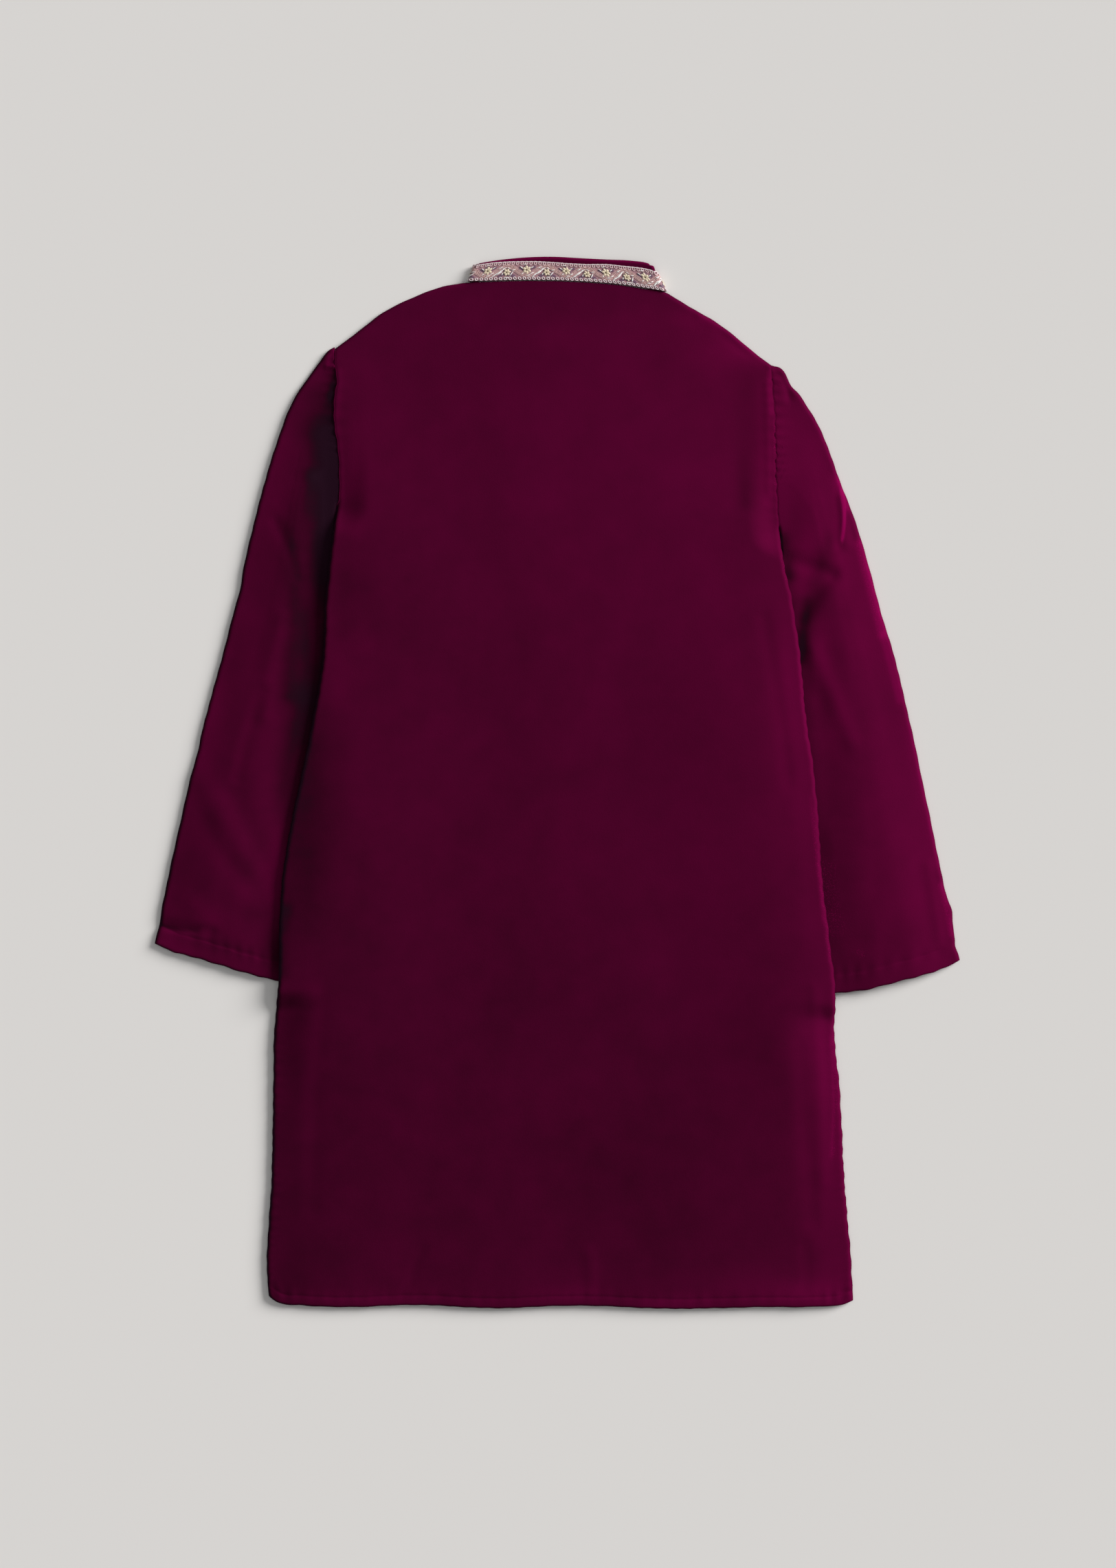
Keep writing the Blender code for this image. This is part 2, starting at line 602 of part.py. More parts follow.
def sleeve(side):
    """One sleeve, a flattened tube open at the armhole and at the cuff."""
    name = "sleeve_" + side
    out = OUTWARD[side]
    seam = ARMHOLE_LINE[side][::-1] + np.array([out * SEAM_GAP, 0.0])
    beside_seam = 1.0 - smooth(np.linspace(0.0, SEAM_END, len(OUTER_LINE[side])))
    outer = OUTER_LINE[side] + np.array([out * SEAM_GAP, 0.0]) * beside_seam[:, None]
    inner = INNER_LINE[side]
    cuff = curve([outer[-1], (outer[-1] + inner[-1]) / 2 + np.array([0.0, -CUFF_BOW[side]]), inner[-1]])
    layers = []
    for us in (UPPER_U, LOWER_U):
        edges = at(cuff, us), at(seam, us), at(outer, 1.0 - SLEEVE_V), at(inner, 1.0 - SLEEVE_V)
        plan = patch(*edges, us, SLEEVE_V)
        x, y = plan[..., 0], plan[..., 1]
        near = distance_to([outer, inner], x, y)
        top = sleeve_top(side, x, y, us[None, :])
        edge_half = SLEEVE_EDGE_HEIGHT / 2
        if us is UPPER_U:
            z = top - rounded(near, edge_half)
            z = np.where((us[None, :] == 0.0) | (us[None, :] == 1.0), edge_half, z)
        else:
            z = rounded(near, edge_half)
        layers.append(np.stack([x, y, z], axis=-1))
    upper, lower = layers
    if side == "left":
        around = np.concatenate([upper, lower[:, ::-1][:, 1:]], axis=1)
    else:
        around = np.concatenate([upper[:, ::-1], lower[:, 1:]], axis=1)
    made = grid_object(name, around, velvet(name + "_velvet", SLEEVE_PLUM), closed=True)
    line = np.array([cuff[0], cuff[-1]])
    thicken(
        made,
        CUFF_CLOTH,
        -1.0,
        thick=lambda spot: distance_to([line], spot.x, spot.y) < CUFF_HEM_DEPTH,
        thin_share=VELVET / CUFF_CLOTH,
    )
    return made


def collar_front(side):
    """Lower and upper edge of one front half of the collar, centre front to side fold."""
    turn = np.radians(np.linspace(90.0 - COLLAR_END_GAP, COLLAR_TURN_START, 8))
    share, dip = np.cos(turn), np.sin(turn)
    seam_end = BACK_NECK[-1].y if side == "right" else BACK_NECK[0].y
    middle = (BACK_NECK[0].y + BACK_NECK[-1].y) / 2
    low_x = NECK_CENTRE[0] + OUTWARD[side] * NECK_HALF_WIDTH * share
    low_y = middle + (seam_end - middle) * share - NECK_DROP * dip + COLLAR_FRONT_GAP
    high_x = COLLAR_CENTRE[0] + OUTWARD[side] * COLLAR_HALF_WIDTH * share
    high_y = COLLAR_CENTRE[1] - COLLAR_DROP * dip
    low = np.stack([low_x, low_y, COLLAR_LOWER + placket_lift(low_x, low_y)], axis=-1)
    high = np.stack([high_x, high_y, COLLAR_LOWER + placket_lift(high_x, high_y)], axis=-1)
    return low, high


def collar_fold(side, low, high):
    """Lower and upper edge of the collar round one side fold, from its lower to its upper layer."""
    turn = np.radians([-90.0, -45.0, 0.0, 45.0, 90.0])
    inward = OUTWARD[side] * COLLAR_BULGE * (np.cos(turn) - 1.0)
    height = (COLLAR_UPPER + COLLAR_LOWER) / 2 + (COLLAR_UPPER - COLLAR_LOWER) / 2 * np.sin(turn)
    edges = []
    for x, y in (low, high):
        edges.append(np.stack([x + inward, np.full(len(turn), y + SEAM_GAP), height], axis=-1))
    return edges


def collar_edges():
    """Lower and upper edge of the whole collar, from the centre front round the left to the right."""
    seam, top = curve(BACK_NECK), curve([(row.x, row.y) for row in COLLAR_TOP])
    shares = np.linspace(0.05, 0.95, 11)
    back = []
    for line in (seam, top):
        plan = at(line, shares) + np.array([0.0, SEAM_GAP])
        back.append(np.column_stack([plan, np.full(len(shares), COLLAR_UPPER)]))
    left_front, right_front = collar_front("left"), collar_front("right")
    left_fold = collar_fold("left", seam[0], top[0])
    right_fold = collar_fold("right", seam[-1], top[-1])
    return [
        np.concatenate([left_front[k], left_fold[k], back[k], right_fold[k][::-1], right_front[k][::-1]])
        for k in (0, 1)
    ]


def collar_band():
    """The low stand collar, folded flat."""
    low, high = collar_edges()
    points = np.array([low + (high - low) * share for share in (0.0, 0.34, 0.68, 1.0)])
    made = grid_object("collar_band", points, velvet("collar_velvet", DEEP_PLUM))
    thicken(made, COLLAR_CLOTH, -1.0)
    return made


def collar_trim():
    """The flower lace, made from the collar's points moved out. It keeps its width where the band widens."""
    low, high = collar_edges()
    tall = np.linalg.norm(high - low, axis=1)[:, None]
    start = low + (high - low) / tall * TRIM_SET_IN
    end = low + (high - low) / tall * np.minimum(TRIM_SET_IN + TRIM_WIDTH, tall - BAND_MARGIN)
    points = np.array([start + (end - start) * share for share in (0.0, 0.34, 0.67, 1.0)])
    normals = np.cross(np.gradient(points, axis=1), np.gradient(points, axis=0))
    normals /= np.linalg.norm(normals, axis=-1, keepdims=True)
    lace = velvet("lace", LACE, roughness=0.5, metallic=0.2)
    made = grid_object("collar_trim", points + normals * SEAM_GAP, lace)
    thicken(made, TRIM_CLOTH, 1.0)
    return made


def placket():
    """The band over the front opening, on the outside of the front panel."""
    top = NECK_CENTRE[1] - NECK_DROP - PLACKET_DROP
    ys = np.linspace(top - PLACKET_LENGTH, top, 15)
    shares = np.linspace(-0.5, 0.5, 5)
    x = placket_middle(ys)[:, None] + shares[None, :] * PLACKET_WIDTH
    y = np.repeat(ys[:, None], len(shares), axis=1)
    z = placket_lift(x, y) - SEAM_GAP
    made = grid_object("placket", np.stack([x, y, z], axis=-1), velvet("placket_velvet", DEEP_PLUM))
    thicken(made, PLACKET_CLOTH, -1.0)
    return made


def button(number):
    """A small round button on the placket."""
    y = NECK_CENTRE[1] - NECK_DROP - BUTTON_FIRST - (number - 1) * BUTTON_PITCH
    bpy.ops.mesh.primitive_cylinder_add(
        vertices=BUTTON_FACETS,
        radius=BUTTON_RADIUS * MM,
        depth=BUTTON_HEIGHT * MM,
        location=(placket_middle(y) * MM, y * MM, BUTTON_HEIGHT / 2 * MM),
    )
    made = bpy.context.active_object
    made.name = f"button_{number}"
    made.data.materials.append(BUTTON_MATERIAL)
    for collection in list(made.users_collection):
        collection.objects.unlink(made)
    GARMENT.objects.link(made)
    edge = made.modifiers.new("edge", "BEVEL")
    edge.width = BUTTON_BEVEL * MM
    edge.segments = 2
    return made


for old in list(bpy.data.objects):
    bpy.data.objects.remove(old, do_unlink=True)

GARMENT = bpy.data.collections.new("kurta")
bpy.context.scene.collection.children.link(GARMENT)
BUTTON_MATERIAL = velvet("button_plastic", HORN, roughness=0.35)

back_panel()
front_panel()
sleeve("left")
sleeve("right")
collar_band()
collar_trim()
placket()
for number in range(1, BUTTON_COUNT + 1):
    button(number)
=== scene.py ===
"""Looks of a child's velvet kurta, laid flat on its front with its back up.

The neck points to +Y and the garment's back faces +Z. It rests on the plane z = 0. Sizes in the tables
are in millimetres, seen from above, and become metres where the meshes are made.
"""

from collections import namedtuple

import bpy
import numpy as np
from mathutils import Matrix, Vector


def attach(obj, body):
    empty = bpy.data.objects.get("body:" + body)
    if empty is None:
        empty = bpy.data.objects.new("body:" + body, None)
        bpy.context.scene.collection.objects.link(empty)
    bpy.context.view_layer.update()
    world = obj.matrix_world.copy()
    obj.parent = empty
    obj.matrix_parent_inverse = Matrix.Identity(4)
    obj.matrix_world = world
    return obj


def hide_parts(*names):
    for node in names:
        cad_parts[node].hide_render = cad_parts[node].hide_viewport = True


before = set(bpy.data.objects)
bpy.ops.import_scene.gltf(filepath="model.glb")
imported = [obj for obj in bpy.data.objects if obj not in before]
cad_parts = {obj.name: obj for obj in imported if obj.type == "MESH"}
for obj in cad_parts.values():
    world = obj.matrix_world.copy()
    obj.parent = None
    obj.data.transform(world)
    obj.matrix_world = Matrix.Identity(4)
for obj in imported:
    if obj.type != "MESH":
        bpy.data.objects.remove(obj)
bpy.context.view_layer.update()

MM = 0.001

# Cloth
VELVET = 1.5
HEM_CLOTH = 2.2
HEM_DEPTH = 7.5
CUFF_HEM_DEPTH = 15.0
CUFF_CLOTH = 0.95 * HEM_CLOTH
EDGE_GAP = 0.3
SLIT_GAP = 1.8
FOLD_RADIUS = 2.9
SUNK = 0.01

# The sleeve seam's gap, and how it fades at the underarm, at the shoulder and along the sleeve's outer fold
SEAM_GAP = -0.2
SEAM_FADE = 4.0
SEAM_START = 3.0
GAP_FADE = 8.0

# Heights of the flat layers
BODY_EDGE_HEIGHT = 5.0
BODY_SWELL = 0.8
SWELL_REACH = 40.0
SLEEVE_EDGE_HEIGHT = 4.8
SLEEVE_SWELL = 1.9
SWELL_START = 6.0
SWELL_RISE = 30.0
SWELL_SHARE = 0.35
CUFF_FLAT = {"left": 0.9, "right": 0.0}
CUFF_FLAT_REACH = 60.0
SWELL_FALL = 60.0
PRESS_START = 10.0
PRESS_REACH = 12.0
PRESS_GAP = 0.1

# The body rises where a sleeve is tucked under it
LIFT = {"left": 6.6, "right": 5.8}
LIFT_START = 26.0
LIFT_MARGIN = 4.0
LIFT_SLOPE = 26.0
LIFT_END = 18.0

# The upper face eases over the sleeves and the placket more gently than the lower face
EASE_SLOPE = 110.0
EASE_START = 70.0
EASE_END = 110.0
EASE_SEAM = 22.0
DROOP_SHARE = 0.9
DROOP_REACH = 22.0
DROOP_START = 15.0
PLACKET_EASE = 120.0

# Side slits, from the hem up
SLIT_HEIGHT = 190.0
SLIT_BLEND = 12.0

# Collar
NECK_CENTRE = (7.5, 361.0)
NECK_HALF_WIDTH = 71.7
NECK_DROP = 50.0
COLLAR_CENTRE = (5.8, 376.5)
COLLAR_HALF_WIDTH = 65.0
COLLAR_DROP = 46.0
COLLAR_CLOTH = 1.5
COLLAR_UPPER = 5.6
COLLAR_LOWER = 1.15
COLLAR_BULGE = 2.0
COLLAR_END_GAP = 1.0
COLLAR_SEAM_GAP = 0.3
COLLAR_SEAM_DIP = 0.5
COLLAR_TURN_END = 14.0
COLLAR_RIM = 0.7
COLLAR_RIM_REACH = 1.4
COLLAR_RIDGE = 0.35
COLLAR_RIDGE_AT = 1.6
COLLAR_RIDGE_REACH = 1.1
TRIM_CLOTH = 0.6
TRIM_WIDTH = 14.2
TRIM_SET_IN = 0.1
TRIM_GAP = 0.2
BAND_MARGIN = 0.6

# Front opening
OPENING_LENGTH = 205.0
OPENING_GAP = 0.4
OPENING_PANEL = 340.0
PLACKET_WIDTH = 28.0
PLACKET_LENGTH = 214.0
PLACKET_CLOTH = 1.1
PLACKET_RISE = 3.5
PLACKET_SLOPE = 26.0
PLACKET_LEAN = 0.007
PLACKET_FLAT = 4.0
PLACKET_DROP = 1.5
PLACKET_FADE = 52.0
PLACKET_GROOVE = 0.3
PLACKET_STITCH = 2.2
PLACKET_GROOVE_REACH = 0.6
PLACKET_RIM = 0.25
PLACKET_RIM_REACH = 0.8
PLACKET_THIN = 0.8
PLACKET_COLUMNS = [0.0, 0.01, 0.04, 0.07, 0.09, 0.12, 0.3, 0.5]
BUTTON_COUNT = 4
BUTTON_FIRST = 16.0
BUTTON_PITCH = 50.0


def table(columns, *rows):
    """Rows with named columns."""
    kind = namedtuple("Row", columns)
    return [kind(*row) for row in rows]


def grouped(columns, **groups):
    """Tables with the same named columns, one for each piece or line."""
    return {name: table(columns, *rows) for name, rows in groups.items()}


EDGE = "left_x left_y right_x right_y"

# Side edges of the body, hem to underarm
SIDES = table(
    EDGE,
    (-209.8, -373.6, 215.4, -376.6),
    (-210.6, -366, 215, -366),
    (-207.8, -285, 208.8, -285),
    (-206.6, -220, 205.4, -220),
    (-206, -182, 201.8, -184),
    (-202.5, -142, 202.2, -152),
    (-202, -105, 198.4, -118),
    (-199.4, -66, 192.6, -69),
    (-193, -27, 189.8, -26),
    (-184, 15, 186.6, 14),
    (-177, 50, 181.4, 52),
    (-170.4, 90, 176.6, 94),
    (-168.4, 132, 170.4, 134),
    (-164.6, 168, 164, 164),
    (-160, 202.3, 161.6, 184.8),
)

# Armhole seams, underarm to shoulder
ARMHOLES = table(
    EDGE,
    (-160, 202.3, 161.6, 184.8),
    (-160.2, 222, 159.6, 214),
    (-160.6, 246, 159, 246),
    (-162.2, 266, 157.8, 274),
    (-162, 290, 156.4, 292),
    (-161.5, 316.3, 155.6, 304.3),
)

# Shoulder folds, sleeve seam to neck
SHOULDERS = table(
    EDGE,
    (-161.5, 316.3, 155.6, 304.3),
    (-145, 328.4, 144.5, 312.6),
    (-125, 342.4, 131, 323.6),
    (-102, 354.6, 113, 336.2),
    (-82, 361.8, 95, 347.4),
    (-64.2, 364.6, 79.2, 357.3),
)

# Back neckline and hem, left to right
BACK_NECK = table(
    "x y",
    (-64.2, 364.6), (-30, 365.4), (10, 364.9), (45, 362.4), (79.2, 357.3),
)
HEM = table(
    "x y",
    (-209.8, -373.6), (-205, -377.2), (-185, -380.2), (-150, -381.3), (-105, -379.8),
    (-45, -382.2), (10, -380.3), (85, -382.6), (150, -381.4), (190, -381),
    (208, -379.6), (215.4, -376.6),
)

# Top edge of the collar at the back, left to right
COLLAR_TOP = table(
    "x y",
    (-59.6, 377.4), (-45, 379.9), (-22.5, 382.2), (-5, 382.7), (16, 381.7),
    (35, 380.7), (55, 379.7), (64.5, 378.4), (69.6, 376.6),
)

# Outer fold of each sleeve, shoulder to cuff
SLEEVE_OUTER = table(
    EDGE,
    (-161.5, 316.3, 155.6, 304.3),
    (-168, 312, 165.5, 300.6),
    (-178, 299.8, 178.2, 280.4),
    (-191.4, 279.8, 190.4, 260),
    (-206.8, 239.8, 205.6, 220.6),
    (-219.4, 195, 217.2, 190),
    (-236.8, 120, 236.8, 120),
    (-255.4, 52, 254, 55),
    (-271.4, -15, 268.6, -15),
    (-284.6, -75, 281.2, -75),
    (-293, -116.8, 293, -128.8),
)

# Hidden inner fold of each sleeve: how far below the underarm, and how far it is tucked under the body
TUCKS = table(
    "below left right",
    (0, 0.3, 0.3),
    (14, 0.9, 0.9),
    (36, 7, 6),
    (66, 24, 22),
    (105, 33, 31),
    (150, 31, 30),
    (210, 27, 26),
    (280, 19, 18),
    (349, 12.5, 12.5),
)
CUFF_PULL_START = 250.0
CUFF_TUCK = {"left": (-190.0, -146.0), "right": (189.8, -154.6)}
CUFF_LINE = {
    "left": [(-281.7, -122), (-265, -126.9), (-241.7, -133.5), (-226.7, -138.4), (-213, -142)],
    "right": [(288.5, -131.5), (281, -135), (261, -141), (244.4, -145.6), (225, -150.3), (208, -152.5)],
}

# Soft folds in the upper faces: a trough has a positive depth and a ridge a negative one
FOLDS = grouped("x0 y0 x1 y1 half_width depth", sleeve_left=[
    (-168, 296, -178, 84, 13, 1.8),
    (-236, -8, -206, -70, 9, 0.7),
    (-262, 6, -226, -58, 9, -0.5),
    (-288, -102, -252, -108, 4, 0.7),
], sleeve_right=[
    (170, 162, 200, 152, 6, 1.2),
    (176, 118, 198, 150, 6, 1.2),
    (186, 96, 214, 30, 7, -0.9),
    (207, 208, 211, 174, 4, -0.7),
    (190, 60, 196, -20, 9, 0.6),
], back_panel=[
    (136, 288, 133, 205, 8, 0.4),
    (-146, 116, -150, -20, 11, -0.3),
    (166, 60, 178, -110, 9, -0.3),
])

# Small waves of the edges: how high at the left and the right, and how far apart
Wave = namedtuple("Wave", "left right pitch phase")
WAVE_FADE = 22.0

# Points of a line, of a coarse line, and of a short path, and how close a point must lie for the full line
LINE_POINTS = 520
FEW_POINTS = 60
PATH_POINTS = 24
CLOSE = 9.0


def held(value):
    """A share held from 0 to 1."""
    return np.clip(value, 0.0, 1.0)


def smooth(value):
    """Ease from 0 to 1."""
    value = held(value)
    return value * value * (3.0 - 2.0 * value)


def bell(distance, reach, power=2):
    """A share that falls from 1 as the distance grows past its reach."""
    return np.exp(-((distance / reach) ** power))


def joined(*parts):
    """Coordinates as points."""
    return np.stack(parts, axis=-1)


def curve(points, count=260):
    """A smooth plan curve through a few points, as evenly spaced points."""
    points = np.array(points, float)
    steps = np.linalg.norm(np.diff(points, axis=0), axis=1)
    along = np.concatenate([[0.0], np.cumsum(steps)])
    slopes = np.gradient(points, along, axis=0)
    fine = np.linspace(0.0, along[-1], count * 4)
    span = np.clip(np.searchsorted(along, fine, side="right") - 1, 0, len(steps) - 1)
    length = steps[span][:, None]
    t = ((fine - along[span]) / steps[span])[:, None]
    line = (
        (2 * t**3 - 3 * t**2 + 1) * points[span]
        + (t**3 - 2 * t**2 + t) * length * slopes[span]
        + (3 * t**2 - 2 * t**3) * points[span + 1]
        + (t**3 - t**2) * length * slopes[span + 1]
    )
    return at(line, np.linspace(0.0, 1.0, count))


def at(line, fractions):
    """Points of a line at fractions of its length."""
    steps = np.linalg.norm(np.diff(line, axis=0), axis=1)
    along = np.concatenate([[0.0], np.cumsum(steps)]) / steps.sum()
    return joined(*(np.interp(fractions, along, values) for values in line.T))


def wavered(line, height, pitch, phase):
    """A line with small uneven waves across it, which fade at its ends."""
    steps = np.linalg.norm(np.diff(line, axis=0), axis=1)
    along = np.concatenate([[0.0], np.cumsum(steps)])
    run = np.gradient(line, axis=0)
    run /= np.linalg.norm(run, axis=1, keepdims=True)
    turn = 2 * np.pi * (along / pitch + 0.5 * np.sin(along / (pitch * 1.7) + phase))
    rise = height * (np.sin(turn + phase) + 0.6 * np.sin(0.37 * turn + 2.1 * phase))
    rise *= smooth(along / WAVE_FADE) * smooth((along[-1] - along) / WAVE_FADE)
    return line + rise[:, None] * joined(-run[:, 1], run[:, 0])


def side_of(rows, side):
    """The points of one side of a table that has left and right columns."""
    return [(getattr(row, side + "_x"), getattr(row, side + "_y")) for row in rows]


def to_segments(line, x, y):
    """Plan distance from each point to the nearest segment of one line."""
    nearest = np.full(x.shape, np.inf)
    for start, run in zip(line[:-1], np.diff(line, axis=0)):
        share = held(((x - start[0]) * run[0] + (y - start[1]) * run[1]) / (run @ run))
        away = (x - start[0] - share * run[0]) ** 2 + (y - start[1] - share * run[1]) ** 2
        nearest = np.minimum(nearest, away)
    return np.sqrt(nearest)


def distance_to(lines, x, y):
    """Plan distance from each point to the nearest of some lines, in full detail where it is small."""
    flat_x, flat_y = np.ravel(x), np.ravel(y)
    nearest = np.full(flat_x.shape, np.inf)
    for line in lines:
        few = line if len(line) < FEW_POINTS else np.concatenate([line[:-1:8], line[-1:]])
        away = to_segments(few, flat_x, flat_y)
        if few is not line:
            close = away < CLOSE
            away[close] = to_segments(line, flat_x[close], flat_y[close])
        nearest = np.minimum(nearest, away)
    return nearest.reshape(np.shape(x))


def patch(bottom, top, left, right, us, vs):
    """Plan points of a cloth between four boundary lines, in rows from bottom to top."""
    u, v = us[None, :, None], vs[:, None, None]
    corners = (
        (1 - u) * (1 - v) * bottom[0] + u * (1 - v) * bottom[-1] + (1 - u) * v * top[0] + u * v * top[-1]
    )
    return (1 - v) * bottom[None] + v * top[None] + (1 - u) * left[:, None] + u * right[:, None] - corners


# Small dents and bumps of the edge lines: where, how far along the line, and how far they move it
DENTS = grouped("x y reach move_x move_y", armhole=[
    (-160.5, 292, 8, 2.2, 0),
    (-159, 222, 26, 2.2, 0),
    (170, 133, 5, -1, 0),
], side=[
    (182, 40, 40, -1.2, 0),
], outer=[
    (168.5, 294.5, 6, -2.4, -1.5),
    (171.5, 288.5, 5, -2, -1.1),
    (272, -20, 80, 0.8, 0),
    (-250, 70, 40, 0.6, 0),
    (161, 301.5, 2.6, 0.5, 0.5),
    (285, -93, 9, 1.9, 0.3),
    (245, 92, 24, 1, 0),
    (-164, 314, 7, -1.1, 1.3),
    (289.5, -119, 4, -1.3, -0.3),
    (-287.5, -102, 6, 1, 0),
    (-232, 140, 9, 0.9, 0),
    (-262, 23, 12, 0.7, 0),
], shoulder=[
    (-125, 342, 18, -0.3, 1.1),
    (115, 334, 18, 0.3, 0.8),
])


def dented(name, line):
    """An edge line with its dents and bumps."""
    for row in DENTS.get(name, ()):
        away = np.hypot(line[:, 0] - row.x, line[:, 1] - row.y)
        line = line + bell(away, row.reach)[:, None] * [row.move_x, row.move_y]
    return line


def edge_lines(name, rows, wave):
    """The left and right edge curves of a table, with their dents and small waves."""
    lines = {}
    for side, turn in (("left", 0.0), ("right", 1.3)):
        line = dented(name, curve(side_of(rows, side), LINE_POINTS))
        lines[side] = wavered(line, getattr(wave, side), wave.pitch, wave.phase + turn)
    return lines


SIDE_LINE = edge_lines("side", SIDES, Wave(0.18, 0.28, 11.0, 0.4))
ARMHOLE_LINE = edge_lines("armhole", ARMHOLES, Wave(0.25, 0.35, 12.0, 1.9))
SHOULDER_LINE = edge_lines("shoulder", SHOULDERS, Wave(0.1, 0.1, 14.0, 0.9))
OUTER_LINE = edge_lines("outer", SLEEVE_OUTER, Wave(0.12, 0.12, 16.0, 2.2))
HEM_LINE = wavered(curve(HEM, LINE_POINTS), 0.14, 15.0, 0.7)
OUTWARD = {"left": -1.0, "right": 1.0}
BODY_FOLDS = [*SIDE_LINE.values(), *SHOULDER_LINE.values()]


def side_x(side, y):
    """Where one side edge of the body lies at a height y of the plan."""
    line = SIDE_LINE[side]
    return np.interp(y, line[:, 1], line[:, 0])


def tuck_line(side):
    """The hidden inner fold of a sleeve, underarm to cuff."""
    top = SIDE_LINE[side][-1, 1]
    below = np.linspace(0.0, TUCKS[-1].below, 60)
    rows = curve([(row.below, getattr(row, side)) for row in TUCKS])
    depth = np.interp(below, rows[:, 0], rows[:, 1])
    line = joined(side_x(side, top - below) - OUTWARD[side] * depth, top - below)
    end = np.array(CUFF_TUCK[side])
    pull = smooth((below - CUFF_PULL_START) / (TUCKS[-1].below - CUFF_PULL_START))[:, None]
    return at(line + pull * (end - line[-1]), np.linspace(0.0, 1.0, LINE_POINTS))


INNER_LINE = {side: tuck_line(side) for side in OUTWARD}


def tuck_at(side, y):
    """How far a sleeve reaches under the body at a height y of the plan."""
    line = INNER_LINE[side][::-1]
    return (side_x(side, y) - np.interp(y, line[:, 1], line[:, 0])) * OUTWARD[side]


def inward(side, x, y):
    """How far a point of the plan lies in from a side edge of the body."""
    return (side_x(side, y) - x) * OUTWARD[side]


def below_arm(side, y):
    """How far a height of the plan lies below the underarm."""
    return SIDE_LINE[side][-1, 1] - y


def lifted(side, x, y, slope):
    """How much of the sleeve's lift reaches a point, and how far the point is past the cuff."""
    across = inward(side, x, y) - np.maximum(tuck_at(side, y), 0.0) - LIFT_MARGIN
    return LIFT[side] * (1.0 - smooth(across / slope)), INNER_LINE[side][-1, 1] - LIFT_MARGIN - y


def sleeve_lift(side, x, y):
    """How far the tucked sleeve holds up the lower face of the body."""
    lift, cuff = lifted(side, x, y, LIFT_SLOPE)
    return lift * smooth(below_arm(side, y) / LIFT_START) * (1.0 - smooth(cuff / LIFT_END))


def sleeve_ease(side, x, y):
    """How far the tucked sleeve raises the upper face of the body."""
    lift, cuff = lifted(side, x, y, EASE_SLOPE)
    below = below_arm(side, y)
    droop = 1.0 - DROOP_SHARE * bell(inward(side, x, y), DROOP_REACH) * smooth(cuff / DROOP_START)
    past_seam = smooth(distance_to([ARMHOLE_LINE[side]], x, y) / EASE_SEAM)
    start = smooth((below + EASE_START) / (EASE_START + LIFT_START))
    start *= np.maximum(past_seam, smooth(below / LIFT_START))
    return lift * start * droop * (1.0 - smooth(cuff / EASE_END))


def placket_middle(y):
    """The x of the front's centre line at a height y of the plan."""
    return NECK_CENTRE[0] + (y - NECK_CENTRE[1]) * PLACKET_LEAN


def placket_lift(x, y, slope=PLACKET_SLOPE):
    """How far the buttons and the placket hold up the front panel, or the back with a gentler slope."""
    half = PLACKET_WIDTH / 2 + PLACKET_FLAT
    across = 1.0 - smooth((np.abs(x - placket_middle(y)) - half) / slope)
    top = NECK_CENTRE[1] - NECK_DROP
    end = top - PLACKET_LENGTH - PLACKET_DROP
    along = smooth((y - end + slope) / slope) * (1.0 - smooth((y - top) / PLACKET_FADE))
    return PLACKET_RISE * across * along


def floor_of_body(x, y):
    """Height of the body's lower face away from its folds."""
    return np.maximum(sleeve_lift("left", x, y), sleeve_lift("right", x, y)) + placket_lift(x, y)


def top_of_body(x, y):
    """Height by which everything underneath raises the body's upper face."""
    eased = np.maximum(sleeve_ease("left", x, y), sleeve_ease("right", x, y))
    return np.maximum(eased + placket_lift(x, y, PLACKET_EASE), floor_of_body(x, y))


def body_height(x, y):
    """Height between the two outer faces of the body away from its folds."""
    return BODY_EDGE_HEIGHT + BODY_SWELL * smooth(distance_to(BODY_FOLDS, x, y) / SWELL_REACH)


def folds_in(piece, x, y):
    """How much lower the soft folds make the upper face of a piece."""
    drop = np.zeros(np.shape(x))
    for fold in FOLDS.get(piece, ()):
        line = np.array([(fold.x0, fold.y0), (fold.x1, fold.y1)])
        drop += fold.depth * bell(distance_to([line], x, y), fold.half_width)
    return drop


def rounded(distance, half_height, radius=FOLD_RADIUS):
    """How far an outer face has turned towards the middle near a rolled fold."""
    reach = held(1.0 - distance / radius)
    return half_height * (1.0 - np.sqrt(1.0 - reach**2))


def edge_gap(y):
    """The gap between the panels along their edges: a seam above the slits, and open below."""
    slit_top = HEM[0].y + SLIT_HEIGHT
    return EDGE_GAP + (SLIT_GAP - EDGE_GAP) * smooth((slit_top - y) / SLIT_BLEND)


def panel_heights(name, x, y):
    """Height of a panel's outer face."""
    low = floor_of_body(x, y)
    tall = body_height(x, y)
    roll = rounded(distance_to(BODY_FOLDS, x, y), (tall - edge_gap(y)) / 2)
    if name == "front_panel":
        return low + roll
    return top_of_body(x, y) + tall - roll - folds_in(name, x, y)


